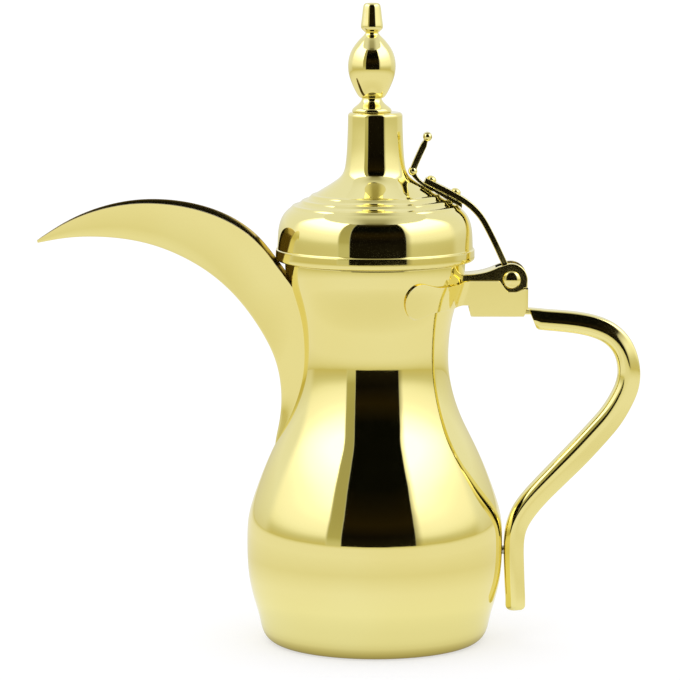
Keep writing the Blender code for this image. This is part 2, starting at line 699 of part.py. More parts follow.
def build_lid_liner():
    flange_top = LINER_FLANGE_Z + LINER_T
    foot_r = LINER_PLUG_R - 0.6           # the skirt tapers downwards
    outline = [(foot_r, LINER_PLUG_Z), (LINER_PLUG_R, LINER_FLANGE_Z),
               (LINER_STEP_R, LINER_FLANGE_Z), (LINER_STEP_R, LINER_EDGE_Z),
               (LINER_EDGE_R, LINER_EDGE_Z), (LINER_EDGE_R, LINER_EDGE_Z + LINER_T),
               (LINER_STEP_R - LINER_T, LINER_EDGE_Z + LINER_T),
               (LINER_STEP_R - LINER_T, flange_top), (LINER_PLUG_R - LINER_T, flange_top),
               (foot_r - LINER_T, LINER_PLUG_Z)]
    make("lid_liner", turned(outline, SEG_LID), DULL, lid=True)


# --------------------------------------------------------------------- finial
# Three turned pieces on one stud: outlines (radius, z), bottom to top.
FINIAL_FOOT = [(9.1, 249.5), (9.15, 250.2), (8.75, 251.1), (7.6, 252.0), (6.0, 253.2),
               (4.9, 254.6), (4.6, 255.6)]
FINIAL_BULB = [(5.6, 255.9), (6.1, 256.5), (7.0, 257.8), (7.95, 259.6), (9.15, 262.2),
               (10.25, 265.0), (10.9, 267.8), (11.1, 270.6), (10.9, 273.4),
               (10.2, 276.2), (8.9, 278.9), (7.6, 280.8), (6.1, 282.8), (4.3, 284.5),
               (3.6, 285.5)]
FINIAL_TIP = [(2.9, 285.8), (3.4, 286.6), (4.8, 287.7), (5.1, 289.3), (5.0, 290.6),
              (4.6, 293.0), (4.25, 296.6), (3.9, 298.7), (2.7, 299.8), (1.3, 300.0),
              (0.0, 300.0)]
STUD_R = 1.8
STUD_Z = (242.2, 292.0)
TIP_HOLE_TOP_Z = 292.4
WASHER_R, WASHER_T = 5.2, 0.8
NUT_R, NUT_T = 4.0, 3.0


def bored(outline):
    """Close an outline along the stud hole."""
    return [(STUD_HOLE_R, outline[0][1])] + outline + [(STUD_HOLE_R, outline[-1][1])]


def build_finial():
    tip = [(0, TIP_HOLE_TOP_Z), (STUD_HOLE_R, TIP_HOLE_TOP_Z),
           (STUD_HOLE_R, FINIAL_TIP[0][1])] + FINIAL_TIP
    stud = [(0, STUD_Z[0]), (STUD_R, STUD_Z[0]), (STUD_R, STUD_Z[1]), (0, STUD_Z[1])]
    washer_top = TOWER_TOP_Z - SHEET - GAP
    washer = bored([(WASHER_R, washer_top - WASHER_T), (WASHER_R, washer_top)])
    nut_top = washer_top - WASHER_T - GAP
    nut = bored([(NUT_R, nut_top - NUT_T), (NUT_R, nut_top)])
    for name, outline, seg, finish in (
            ("finial_foot", bored(FINIAL_FOOT), SEG_SMALL, POLISHED),
            ("finial_bulb", bored(FINIAL_BULB), SEG_SMALL, POLISHED),
            ("finial_tip", tip, SEG_SMALL, POLISHED),
            ("finial_stud", stud, 16, STUD_FINISH),
            ("stud_washer", washer, 24, STUD_FINISH),
            ("stud_nut", nut, 6, STUD_FINISH)):
        make(name, turned(outline, seg, centre_x=FINIAL_X), finish, lid=True)


# ------------------------------------------------------ lid strap and lever
STRAP_HALF = 4.0
EYE_R = 4.6               # barrel eye round the pin
EYE_OVERLAP = 9           # degrees left open on each side of the eye's arc

LEVER_HALF = 3.4
TOE_START_X, TOE_END_X = 40.5, 23.0
# Shaft centre line: x, z, half thickness.
LEVER_SHAFT = [(20.8, 216.95, 0.72), (18.7, 219.0, 0.9), (17.2, 221.6, 1.3),
               (17.9, 224.8, 1.4), (20.4, 230.0, 1.4), (22.4, 234.0, 1.4)]
ROLL_X, ROLL_Z, ROLL_R = 24.3, 237.9, 2.05
ROLL_OVERLAP = 14         # degrees left open on each side of the roll's arc


def trim_at_eye(line):
    """Drop the last points of a strap edge that lie inside the eye."""
    while math.hypot(line[-1][0] - PIN_X, line[-1][1] - PIN_Z) < EYE_R - 0.2:
        line.pop()


def build_strap():
    outer = simplify(bspline(STRAP_EDGE, 8), tol=0.05)
    trim_at_eye(outer)
    under = shifted(outer, -STRAP_T)
    trim_at_eye(under)
    start = angle_from(PIN_X, PIN_Z, outer[-1]) - EYE_OVERLAP
    end = angle_from(PIN_X, PIN_Z, under[-1]) - 360 + EYE_OVERLAP
    outline = outer + arc(PIN_X, PIN_Z, EYE_R, start, end, 20) + under[::-1]
    strap = make("hinge_strap", prism(outline, STRAP_HALF), STRAP_FINISH, lid=True)
    cut(strap, pin_bore_cutter("strap_bore"))
    return strap


def build_lever():
    """Wedge toe between lid and strap, bent shaft, and a rolled end."""
    strap_under = shifted(STRAP_LINE, -STRAP_T - GAP)
    left, right = [], []                  # sides, seen from toe to roll
    for k in range(9):
        x = TOE_START_X + (TOE_END_X - TOE_START_X) * k / 8
        left.append((x, lid_height(x) + 0.42 + 0.65 * smooth(25.5, 27.5, x)))
        right.append((x, lookup(strap_under, x, key=0, want=1)))
    low, top = left[-1][1], right[-1][1]
    toe_end = (left[-1][0], (top + low) / 2, (top - low) / 2 * 0.86)
    path = bspline([toe_end] + LEVER_SHAFT, 5)[1:]
    for (x, z, half), (nx, nz) in zip(path, normals_of(path)):
        left.append((x + nx * half, z + nz * half))
        right.append((x - nx * half, z - nz * half))
    start = angle_from(ROLL_X, ROLL_Z, left[-1])
    end = angle_from(ROLL_X, ROLL_Z, right[-1])
    if start < end:
        start += 360
    roll = arc(ROLL_X, ROLL_Z, ROLL_R, start - ROLL_OVERLAP, end + ROLL_OVERLAP, 14)
    return make("thumb_lever", prism(left + roll + right[::-1], LEVER_HALF),
                STRAP_FINISH, lid=True)


# --------------------------------------------------------------- strap rivets
RIVET_X = {"front": 26.2, "rear": 37.6}
RIVET_R = 1.3
RIVET_HOLE_R = 1.55
RIVET_HEAD_R = 2.35
BURR_R, BURR_T = 2.9, 0.7


def burr_depth(base, normal):
    """Depth along the rivet at which the burr clears the lid's inner face."""
    depth = 0.0
    while True:
        p = base - normal * depth
        if p.z < lid_height(p.x) - SHEET / normal.z - 0.75:
            return depth
        depth += 0.05


def build_strap_rivet(label, x, targets):
    """Bore, burr and rivet, square to the strap at x."""
    z = lookup(STRAP_LINE, x, key=0, want=1)
    z_next = lookup(STRAP_LINE, x + 0.5, key=0, want=1)
    normal = Vector((z - z_next, 0, 0.5)).normalized()
    base = Vector((x, 0, z))
    bore = cutter("rivet_bore_" + label,
                  rod(base + normal * 5, -normal, RIVET_HOLE_R, 24, SEG_RIVET))
    for target in targets:
        cut(target, bore)

    burr_top = -burr_depth(base, normal)
    burr_low = burr_top - BURR_T
    burr = [(RIVET_HOLE_R, burr_low), (BURR_R, burr_low), (BURR_R, burr_top),
            (RIVET_HOLE_R, burr_top)]
    tail = burr_low - GAP
    rivet = [(0, tail - 1.2), (1.5, tail - 1.0), (2.2, tail), (RIVET_R, tail),
             (RIVET_R, GAP), (RIVET_HEAD_R, GAP), (RIVET_HEAD_R * 0.93, GAP + 0.65),
             (RIVET_HEAD_R * 0.7, GAP + 1.25), (RIVET_HEAD_R * 0.36, GAP + 1.6),
             (0, GAP + 1.7)]
    for name, outline, finish in (("rivet_burr_", burr, BURR_FINISH),
                                  ("strap_rivet_", rivet, STRAP_RIVET_FINISH)):
        make(name + label, placed(turned(outline, SEG_RIVET), base, axis=normal,
                                  side=(0, 1, 0)), finish, lid=True)


# ------------------------------------------------------------------- assembly
build_body()
build_base_disc()
trim = pot_trim_cutter()
build_spout(trim)
build_hinge_channel(trim)
build_hinge_pin()
build_bracket()
build_handle()
build_foot_rivet()

lid_shell = build_lid_shell()
build_lid_liner()
build_finial()
hinge_strap = build_strap()
thumb_lever = build_lever()
for rivet_label, rivet_x in RIVET_X.items():
    build_strap_rivet(rivet_label, rivet_x, (hinge_strap, thumb_lever, lid_shell))
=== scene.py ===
# Looks of a dallah (coffee pot): every CAD node gets a finely resolved skin, with
# polished-gold and satin-steel materials, on a pale floor in a small studio.
# The pot stands on z = 0 with its axis on Z, the spout towards -X, the handle and
# hinge towards +X, and the camera on the -Y side.
import math
import bpy
import bmesh
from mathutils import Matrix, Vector


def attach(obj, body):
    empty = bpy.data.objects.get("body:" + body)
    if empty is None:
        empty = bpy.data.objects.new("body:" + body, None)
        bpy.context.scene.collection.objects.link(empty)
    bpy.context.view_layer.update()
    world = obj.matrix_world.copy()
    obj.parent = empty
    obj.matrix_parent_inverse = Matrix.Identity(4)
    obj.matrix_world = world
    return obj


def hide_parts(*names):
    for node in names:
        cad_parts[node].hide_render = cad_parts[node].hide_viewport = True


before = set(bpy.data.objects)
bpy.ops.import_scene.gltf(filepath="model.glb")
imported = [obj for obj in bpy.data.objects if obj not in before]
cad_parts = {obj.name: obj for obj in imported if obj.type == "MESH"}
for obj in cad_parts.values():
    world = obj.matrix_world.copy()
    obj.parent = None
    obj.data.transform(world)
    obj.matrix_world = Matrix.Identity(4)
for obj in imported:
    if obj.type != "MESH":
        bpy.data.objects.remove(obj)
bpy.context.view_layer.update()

# ------------------------------------------------------------------ dimensions
# Millimetres and degrees; make() turns millimetres into metres.
MM = 0.001
SHEET = 1.0                # wall of pot and lid
MOUTH_Z = 179.7
BASE_LIP_R = 44.0
# Control points of the curves, (radius, z)
BELLY = [(BASE_LIP_R, 0.0), (46.0, 0.0), (48.6, 0.0), (52.0, 2.7), (53.7, 6.9),
         (54.5, 12.2), (57.4, 21.0), (59.4, 30.0), (60.1, 39.5), (60.15, 49.0),
         (59.95, 57.5), (57.8, 66.0), (54.4, 75.5), (50.7, 85.0), (46.1, 94.8),
         (41.1, 104.3), (37.5, 113.8), (35.2, 123.0), (34.2, 132.0), (34.5, 142.0),
         (35.6, 151.5), (38.4, 161.5), (41.5, 170.5), (42.1, 176.5),
         (42.1, MOUTH_Z)]
TOWER_R = 12.7             # narrow top of the lid
TOWER_TOP_Z = 249.2
TOWER_EDGE_R = 1.6
LID_SIDE = [(45.65, 185.9), (45.55, 188.4), (45.45, 191.0), (45.3, 193.6),
            (44.75, 197.2), (43.1, 201.5), (39.6, 204.9), (35.0, 207.1),
            (29.0, 210.6), (23.0, 214.3), (18.2, 217.3), (14.6, 220.4),
            (13.7, 225.5), (13.2, 231.0), (12.95, 237.0), (12.75, 243.0),
            (TOWER_R, 247.2)]
LID_TOP_START_Z = 199      # above this the lid is a slope, with raised rings
LID_RINGS = (38.2, 33.7, 29.4)
RING_HEIGHT = 0.45
RING_WIDTH = 0.85
LINER_R = 39.4
# Base disc, (radius, z)
BASE_DISC = [(0, 0.35), (38.0, 0.35), (39.6, 0.0), (43.5, 0.0), (43.75, 0.25),
             (43.75, 1.35), (46.4, 1.45), (46.4, 2.3), (0, 2.3)]

PIN_X, PIN_Z = 63.5, 171.6
PIN_R = 2.0
PIN_HEAD_R = 4.2
PIN_HEAD_H = 1.95
EAR_R = 7.5
CHANNEL_HALF = 8.2
CHANNEL_WALL = 1.5
CHANNEL_REAR_X = 69.3
SLOT_HALF = 4.5
HINGE_LEAN = 0.020         # how far ears and strap lean in as they rise

EYE_R = 4.6
STRAP_HALF = 4.0
STRAP_T = 2.8
# Upper edge of the strap, lid to pin, (x, z)
STRAP_EDGE = [(23.7, 218.9), (26.0, 217.75), (31.1, 215.2), (37.0, 212.2),
              (42.3, 209.2), (46.1, 206.2), (49.1, 203.1), (51.5, 199.8),
              (53.6, 196.0), (55.6, 192.1), (57.6, 188.0), (59.5, 183.9),
              (61.3, 180.0), (63.0, 176.3), (64.6, 172.8)]
LEVER_HALF = 3.4
LEVER_TOE_X, LEVER_BEND_X = 40.5, 23.0
# (x, z, half thickness)
LEVER_SHAFT = [(20.8, 216.95, 0.72), (18.7, 219.0, 0.9), (17.2, 221.6, 1.4),
               (18.4, 224.8, 1.45), (20.7, 230.0, 1.45), (22.6, 234.0, 1.45)]
LEVER_ROLL = (24.3, 237.9, 2.05)       # x, z, radius
LEVER_BEAD = (17.5, 221.9, 2.1)        # x, z, radius
RIVET_X = (26.2, 37.6)
RIVET_R = 1.3
RIVET_BORE_R = 1.36
RIVET_HEAD_R = 2.35
BURR_T = 0.7

BRACKET_T = 1.2
BRACKET_X = 71.3
BRACKET_LOW = 154.5
CHEEK_Y = 8.5
CHEEK_LEAN = 0.035
CHEEK_LOW, CHEEK_TOP = 159.8, 171.2    # where the cheeks leave the neck
WING_LOW, WING_TOP = 158.6, 170.3
REAR_LOW, REAR_TOP = 157.7, 167.3
NECK_R = 39.8                          # pot's radius under the bracket's pads
PAD_ANGLE = 56.0
PAD_R = 10.0
PAD_Z = 164.6
PAD_START = math.radians(PAD_ANGLE) + PAD_R / NECK_R
PRESS_DROP, PRESS_WIDTH = 1.12, 3.0    # rounded, pressed edge of the bracket
BRACKET_ROWS = 16
# Share of the bracket's half length where pad, fold, cheek and corner end
PAD_END, FOLD_END, CHEEK_END, CORNER_END = 0.45, 0.55, 0.85, 0.92
FOLD_SPAN, CHEEK_SPAN, CORNER_SPAN, REAR_SPAN = 0.10, 0.30, 0.07, 0.08

# Handle's centre line, (x, z, thickness)
HANDLE = [(76.5, 152.4, 9.8), (79.3, 152.0, 9.7), (88.2, 151.4, 9.9),
          (98.5, 150.2, 10.1), (107.6, 147.4, 10.3), (113.6, 143.0, 10.2),
          (117.7, 136.7, 10.2), (119.4, 128.2, 10.5), (118.8, 122.0, 10.9),
          (117.2, 117.2, 11.1), (114.0, 111.0, 11.3), (110.2, 105.1, 11.7),
          (105.5, 99.7, 11.9), (100.7, 94.3, 12.0), (95.2, 88.3, 12.0),
          (89.5, 82.5, 11.8), (83.9, 76.8, 11.5), (78.3, 71.1, 11.2),
          (73.0, 65.2, 11.2), (68.9, 59.4, 10.9), (66.3, 53.2, 9.9),
          (65.4, 46.5, 9.6), (65.6, 38.0, 9.6), (65.95, 28.0, 9.55),
          (66.4, 19.6, 9.45)]
HANDLE_W = 11.0
HANDLE_END_Z = 13.9
HANDLE_END_R = 2.6
TANG_Z = (154.8, 157.1)
# Tang and its step to the bar, (x, width, slope of the section)
TANG = [(56.0, 16.3, 0.0), (68.9, 16.3, 0.0), (70.1, 8.6, 0.0), (73.0, 8.6, 0.42)]
# Half of the bar's section, (share of width, share of thickness): each cheek has a
# flat in the middle, a broad slope on the outer side and a steeper inner one.
BAR_SIDE = [(0.0, 0.500), (-0.16, 0.500), (-0.28, 0.490), (-0.345, 0.46), (-0.375, 0.39),
            (-0.41, 0.285), (-0.455, 0.155), (-0.493, 0.04), (-0.503, -0.03),
            (-0.503, -0.12), (-0.503, -0.20), (-0.490, -0.25), (-0.445, -0.33),
            (-0.385, -0.43), (-0.30, -0.487), (-0.16, -0.500), (0.0, -0.500)]
BAR_QUARTER = 26                       # points in a quarter of the section
FOOT_RIVET_Z = 42.5
FOOT_BORE_X = 42.5                     # where the drilling of its hole starts

# Spout: top x, top z, keel x, keel z, half width
SPOUT = [(-40.0, 91.0, -46.3, 84.5, 5.0), (-33.0, 105.0, -47.6, 92.5, 8.2),
         (-29.0, 122.0, -44.5, 104.0, 10.2), (-27.5, 139.0, -43.6, 116.5, 11.5),
         (-30.5, 154.6, -45.2, 128.8, 12.3), (-36.4, 166.0, -48.6, 138.2, 12.9),
         (-43.2, 174.9, -53.2, 146.6, 13.3), (-49.8, 184.2, -58.8, 155.2, 13.6),
         (-57.4, 192.7, -66.6, 164.9, 13.7), (-69.0, 200.3, -77.8, 174.8, 13.5),
         (-83.5, 205.4, -91.0, 182.4, 12.9), (-99.0, 207.75, -104.0, 187.5, 11.6),
         (-115.0, 207.5, -117.5, 190.3, 9.7), (-131.0, 203.8, -131.0, 191.2, 7.3),
         (-145.0, 197.8, -144.0, 190.8, 4.3), (-157.8, 189.3, -157.6, 188.1, 0.9)]
SPOUT_T = 0.9
SPOUT_COLS = 22                        # mesh columns each side of the keel
STRAINER_Z = [122.0 + 8.0 * row for row in range(5)]
STRAINER_PITCH = 4.2
STRAINER_R = 1.6

FINIAL_X = -1.6
STUD_R, STUD_ROOT_R = 1.8, 1.5
STUD_LOW_Z = 242.2
THREAD_PITCH = 0.6
STUD_BORE_R = 2.15
# Node, then (radius, z): plain start, control points of the curve, plain end
FINIAL = [
    ("finial_foot",
     [(STUD_BORE_R, 249.25), (8.9, 249.25), (9.15, 249.5)],
     [(9.2, 250.0), (9.1, 250.5), (8.7, 251.1), (7.6, 252.0), (6.1, 253.1),
      (5.0, 254.4), (4.65, 255.3), (4.6, 255.85)],
     [(STUD_BORE_R, 255.85)]),
    ("finial_bulb",
     [(STUD_BORE_R, 255.87), (5.2, 255.87)],
     [(5.6, 256.1), (6.1, 256.5), (7.0, 257.8), (7.95, 259.6), (9.15, 262.2),
      (10.25, 265.0), (10.95, 267.8), (11.15, 270.6), (10.95, 273.4),
      (10.25, 276.2), (9.0, 278.9), (7.6, 280.8), (6.1, 282.7), (4.4, 284.3),
      (3.5, 285.2), (3.3, 285.75)],
     [(STUD_BORE_R, 285.75)]),
    ("finial_tip",
     [(0, 292.4), (STUD_BORE_R, 292.4), (STUD_BORE_R, 285.78)],
     [(2.9, 285.78), (3.1, 286.2), (3.9, 286.9), (4.9, 287.8), (5.2, 288.9),
      (5.1, 290.2), (4.85, 291.8), (4.6, 293.8), (4.35, 296.0), (4.15, 297.8),
      (3.85, 299.2), (2.9, 299.9), (1.5, 300.0), (0.6, 300.0), (0.0, 300.0)],
     []),
]


# ----------------------------------------------------------------- curve maths
def bspline(points, steps):
    """Cubic B-spline that starts and ends on its first and last points."""
    ctrl = [tuple(2 * a - b for a, b in zip(points[0], points[1]))]
    ctrl += [tuple(point) for point in points]
    ctrl += [tuple(2 * a - b for a, b in zip(points[-1], points[-2]))]
    axes = range(len(ctrl[0]))
    out = []
    for i in range(len(ctrl) - 3):
        for k in range(steps):
            t = k / steps
            weight = ((1 - t) ** 3, 3 * t ** 3 - 6 * t * t + 4,
                      -3 * t ** 3 + 3 * t * t + 3 * t + 1, t ** 3)
            out.append(tuple(sum(weight[j] * ctrl[i + j][c] for j in range(4)) / 6
                             for c in axes))
    out.append(tuple((ctrl[-3][c] + 4 * ctrl[-2][c] + ctrl[-1][c]) / 6 for c in axes))
    return out


def simplify(line, tolerance):
    """Drops points that lie within the tolerance of the line."""
    if len(line) < 3:
        return line
    start, end = line[0], line[-1]
    dx, dz = end[0] - start[0], end[1] - start[1]
    length = math.hypot(dx, dz) or 1e-9
    farthest, at = -1.0, 0
    for i in range(1, len(line) - 1):
        gap = abs((line[i][0] - start[0]) * dz - (line[i][1] - start[1]) * dx) / length
        if gap > farthest:
            farthest, at = gap, i
    if farthest <= tolerance:
        return [start, end]
    return simplify(line[:at + 1], tolerance)[:-1] + simplify(line[at:], tolerance)


def normals_of(line):
    """Unit normals to the left of the line's travel."""
    out = []
    for i in range(len(line)):
        before, after = line[max(i - 1, 0)], line[min(i + 1, len(line) - 1)]
        dx, dz = after[0] - before[0], after[1] - before[1]
        length = math.hypot(dx, dz) or 1e-9
        out.append((-dz / length, dx / length))
    return out


def shifted(line, amount):
    return [(p[0] + n[0] * amount, p[1] + n[1] * amount)
            for p, n in zip(line, normals_of(line))]


def arc(centre_x, centre_z, radius, start, end, steps):
    angles = [math.radians(start + (end - start) * k / steps) for k in range(steps + 1)]
    return [(centre_x + radius * math.cos(a), centre_z + radius * math.sin(a))
            for a in angles]


def bearing_of(point, centre_x, centre_z):
    return math.degrees(math.atan2(point[1] - centre_z, point[0] - centre_x))


def lookup(line, value, key, want):
    """Column `want` of the line where its column `key` first reaches the value."""
    for a, b in zip(line, line[1:]):
        low, high = sorted((a[key], b[key]))
        if low <= value <= high and high > low:
            t = (value - a[key]) / (b[key] - a[key])
            return a[want] + (b[want] - a[want]) * t
    return line[-1][want]


def smoothstep(start, end, value):
    t = max(0.0, min(1.0, (value - start) / (end - start)))
    return t * t * (3 - 2 * t)


BELLY_LINE = bspline(BELLY, 12)
LID_LINE = bspline(LID_SIDE, 24)
SPOUT_LINE = bspline(SPOUT, 14)
STRAP_LINE = bspline(STRAP_EDGE, 24)
POT_SIDE = [p for p in BELLY_LINE if p[1] > 0.5]
LID_TOP = [p for p in LID_LINE if p[1] > LID_TOP_START_Z]


def pot_radius(z):
    return lookup(POT_SIDE, z, 1, 0)


def lid_height(x):
    return lookup(LID_TOP, x, 0, 1)


# ------------------------------------------------- solids: (vertices, faces) pairs
def turned(outline, segments):
    """Closed outline of (radius, z) turned round Z."""
    turn = [2 * math.pi * (k + 0.5) / segments for k in range(segments)]
    directions = [(math.cos(a), math.sin(a)) for a in turn]
    verts, rings, faces = [], [], []
    for r, z in outline:
        if r < 1e-6:
            rings.append([len(verts)])
            verts.append((0, 0, z))
        else:
            rings.append(list(range(len(verts), len(verts) + segments)))
            verts += [(r * c, r * s, z) for c, s in directions]
    for a, b in zip(rings, rings[1:] + rings[:1]):
        if len(a) == 1 and len(b) == 1:
            continue
        for k in range(segments):
            k2 = (k + 1) % segments
            if len(a) == 1:
                faces.append((a[0], b[k], b[k2]))
            elif len(b) == 1:
                faces.append((a[k], b[0], a[k2]))
            else:
                faces.append((a[k], b[k], b[k2], a[k2]))
    return verts, faces


def placed(solid, origin, axis, side):
    """Solid with its Z laid along `axis` and its X along `side`."""
    verts, faces = solid
    up = Vector(axis).normalized()
    across = Vector(side).normalized()
    third = up.cross(across)
    start = Vector(origin)
    return [tuple(start + across * x + third * y + up * z) for x, y, z in verts], faces


def rod(origin, axis, radius, length, segments, side=(0, 1, 0)):
    outline = [(0, 0), (radius, 0), (radius, length), (0, length)]
    return placed(turned(outline, segments), origin, axis, side)


def pin_bore(clearance):
    return rod((PIN_X, -12, PIN_Z), (0, 1, 0), PIN_R + clearance, 24, 48, (1, 0, 0))


def prism(outline, half):
    """(x, z) outline extruded both ways along Y."""
    count = len(outline)
    verts = [(x, -half, z) for x, z in outline] + [(x, half, z) for x, z in outline]
    faces = [tuple(range(count)), tuple(range(2 * count - 1, count - 1, -1))]
    for i in range(count):
        j = (i + 1) % count
        faces.append((i, i + count, j + count, j))
    return verts, faces


def loft(sections):
    count = len(sections[0])
    verts = [p for section in sections for p in section]
    faces = []
    for i in range(len(sections) - 1):
        for k in range(count):
            k2 = (k + 1) % count
            faces.append((i * count + k, i * count + k2,
                          (i + 1) * count + k2, (i + 1) * count + k))
    faces.append(tuple(range(count)))
    last = (len(sections) - 1) * count
    faces.append(tuple(range(last + count - 1, last - 1, -1)))
    return verts, faces


def soft_prism(outline, half, edge, steps=4):
    """Extruded outline whose long edges are rounded with radius `edge`."""
    area = sum(a[0] * b[1] - b[0] * a[1] for a, b in zip(outline, outline[1:] + outline[:1]))
    if area < 0:
        outline = outline[::-1]
    inward = []
    for i in range(len(outline)):
        a, b, c = outline[i - 1], outline[i], outline[(i + 1) % len(outline)]
        before = Vector((b[0] - a[0], b[1] - a[1])).normalized()
        after = Vector((c[0] - b[0], c[1] - b[1])).normalized()
        mitre = Vector((-(before.y + after.y), before.x + after.x))
        size = mitre.length
        mitre = mitre / size if size > 1e-6 else Vector((-before.y, before.x))
        inward.append(mitre * min(1.6, 1 / max(0.5, size / 2)))

    def ring(inset, y):
        return [(p[0] + v.x * inset, y, p[1] + v.y * inset) for p, v in zip(outline, inward)]

    angles = [math.pi / 2 * k / steps for k in range(steps + 1)]
    rings = []
    for sign in (-1, 1):
        part = [ring(edge + 0.06, sign * half)]      # keeps the cheek's own normal flat
        part += [ring(edge * (1 - math.sin(a)), sign * (half - edge + edge * math.cos(a)))
                 for a in angles]
        rings += part if sign < 0 else part[::-1]
    return loft(rings)


def sheet_layers(layers):
    """Closed sheet from three or more matching grids; the middle ones only
    shape its rim, so that the rim is rounded."""
    rows, cols = len(layers[0]), len(layers[0][0])
    rim = [(0, j) for j in range(cols)] + [(i, cols - 1) for i in range(1, rows)]
    rim += [(rows - 1, j) for j in range(cols - 2, -1, -1)]
    rim += [(i, 0) for i in range(rows - 2, 0, -1)]
    verts = [p for row in layers[0] for p in row]
    other = len(verts)
    verts += [p for row in layers[-1] for p in row]
    faces = []
    for i in range(rows - 1):
        for j in range(cols - 1):
            a, b = i * cols + j, i * cols + j + 1
            c, d = (i + 1) * cols + j + 1, (i + 1) * cols + j
            faces.append((a, b, c, d))
            faces.append((other + a, other + d, other + c, other + b))
    loops = [[i * cols + j for i, j in rim]]
    for layer in layers[1:-1]:
        start = len(verts)
        verts += [layer[i][j] for i, j in rim]
        loops.append(list(range(start, start + len(rim))))
    loops.append([other + i * cols + j for i, j in rim])
    for near, far in zip(loops, loops[1:]):
        for k in range(len(rim)):
            k2 = (k + 1) % len(rim)
            faces.append((near[k], far[k], far[k2], near[k2]))
    return verts, faces


# --------------------------------------------------------------------- objects
def link_object(name, mesh):
    ob = bpy.data.objects.new(name, mesh)
    bpy.context.scene.collection.objects.link(ob)
    return ob


def shade(mesh, sharp):
    mesh.shade_smooth()
    mesh.set_sharp_from_angle(angle=math.radians(sharp))


def make(name, solid, material=None, sharp=30):
    verts, faces = solid
    mesh = bpy.data.meshes.new(name)
    mesh.from_pydata([(x * MM, y * MM, z * MM) for x, y, z in verts], [], faces)
    bm = bmesh.new()
    bm.from_mesh(mesh)
    bmesh.ops.recalc_face_normals(bm, faces=bm.faces)
    bm.to_mesh(mesh)
    bm.free()
    shade(mesh, sharp)
    ob = link_object(name, mesh)
    if material:
        mesh.materials.append(material)
    return ob


def cut(ob, solids, operation='DIFFERENCE', sharp=30):
    """Boolean with closed solids, applied at once."""
    verts, faces = [], []
    for solid_verts, solid_faces in solids:
        base = len(verts)
        verts += solid_verts
        faces += [tuple(i + base for i in face) for face in solid_faces]
    tool = make("tool", (verts, faces))
    boolean = ob.modifiers.new("cut", 'BOOLEAN')
    boolean.operation = operation
    boolean.solver = 'EXACT'
    boolean.object = tool
    graph = bpy.context.evaluated_depsgraph_get()
    mesh = bpy.data.meshes.new_from_object(ob.evaluated_get(graph))
    old = ob.data
    materials = list(old.materials)
    ob.modifiers.clear()
    ob.data = mesh
    mesh.name = old.name + "_cut"
    bpy.data.meshes.remove(old)
    bpy.data.objects.remove(tool)
    mesh.materials.clear()
    for material in materials:
        mesh.materials.append(material)
    shade(mesh, sharp)


def lean_in(ob, level_z, half, top_z=math.inf):
    """Narrows the piece along Y as it rises from level_z, up to top_z."""
    for vert in ob.data.vertices:
        vert.co.y *= 1 - HINGE_LEAN * (min(vert.co.z / MM, top_z) - level_z) / half


def register(ob, body, node):
    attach(ob, body)
    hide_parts(node)


def add_skin(node, body, solid, material, sharp=30):
    """Piece that needs no cutting."""
    register(make(node + "_skin", solid, material, sharp), body, node)


# ------------------------------------------------------------------- materials
class Graph:
    """Shorthand for building one node tree; values may be sockets or constants."""

    def __init__(self, tree):
        self.tree = tree

    def feed(self, socket, value):
        if isinstance(value, bpy.types.NodeSocket):
            self.tree.links.new(value, socket)
        elif isinstance(value, tuple) and socket.type == 'RGBA':
            socket.default_value = (*value, 1)
        else:
            socket.default_value = value

    def add(self, kind, inputs=None, **settings):
        node = self.tree.nodes.new("ShaderNode" + kind)
        for key, value in settings.items():
            setattr(node, key, value)
        for key, value in (inputs or {}).items():
            self.feed(node.inputs[key], value)
        return node

    def noise(self, vector, scale, detail=3.0, roughness=0.5):
        inputs = {"Vector": vector, "Scale": scale, "Detail": detail, "Roughness": roughness}
        return self.add("TexNoise", inputs).outputs["Fac"]

    def remap(self, value, source, target=(0.0, 1.0), ease=True):
        inputs = {"Value": value, "From Min": source[0], "From Max": source[1],
                  "To Min": target[0], "To Max": target[1]}
        mode = 'SMOOTHSTEP' if ease else 'LINEAR'
        return self.add("MapRange", inputs, interpolation_type=mode).outputs["Result"]

    def math(self, operation, *values):
        inputs = dict(enumerate(values))
        return self.add("Math", inputs, operation=operation).outputs["Value"]

    def mix(self, factor, first, second):
        """Colour mix; 6, 7 and 2 are the node's colour sockets."""
        node = self.add("Mix", data_type='RGBA')
        for key, value in ((0, factor), (6, first), (7, second)):
            self.feed(node.inputs[key], value)
        return node.outputs[2]

    def mix_shader(self, factor, first, second):
        return self.add("MixShader", {0: factor, 1: first, 2: second}).outputs["Shader"]

    def band(self, value, edges, softness):
        """1 between the two edges, each with its own softness."""
        (start, end), (start_soft, end_soft) = edges, softness
        rise = self.remap(value, (start - start_soft, start + start_soft))
        fall = self.remap(value, (end - end_soft, end + end_soft), (1.0, 0.0))
        return self.math('MULTIPLY', rise, fall)

    def ramp(self, value, stops):
        """Piecewise-linear colour along a value; stops are (position, colour)."""
        low, high = stops[0][0], stops[-1][0]
        node = self.add("ValToRGB")
        elements = node.color_ramp.elements
        while len(elements) > 1:
            elements.remove(elements[-1])
        elements[0].position = 0.0
        elements[0].color = (*stops[0][1], 1)
        for position, colour in stops[1:]:
            elements.new((position - low) / (high - low)).color = (*colour, 1)
        self.feed(node.inputs["Fac"], self.remap(value, (low, high), ease=False))
        return node.outputs["Color"]


def new_material(name):
    material = bpy.data.materials.new(name)
    material.use_nodes = True
    tree = material.node_tree
    return material, Graph(tree), tree.nodes["Principled BSDF"]


def new_surface(name):
    """Material without its standard shader."""
    material, graph, shader = new_material(name)
    graph.tree.nodes.remove(shader)
    return material, graph, graph.tree.nodes["Material Output"]


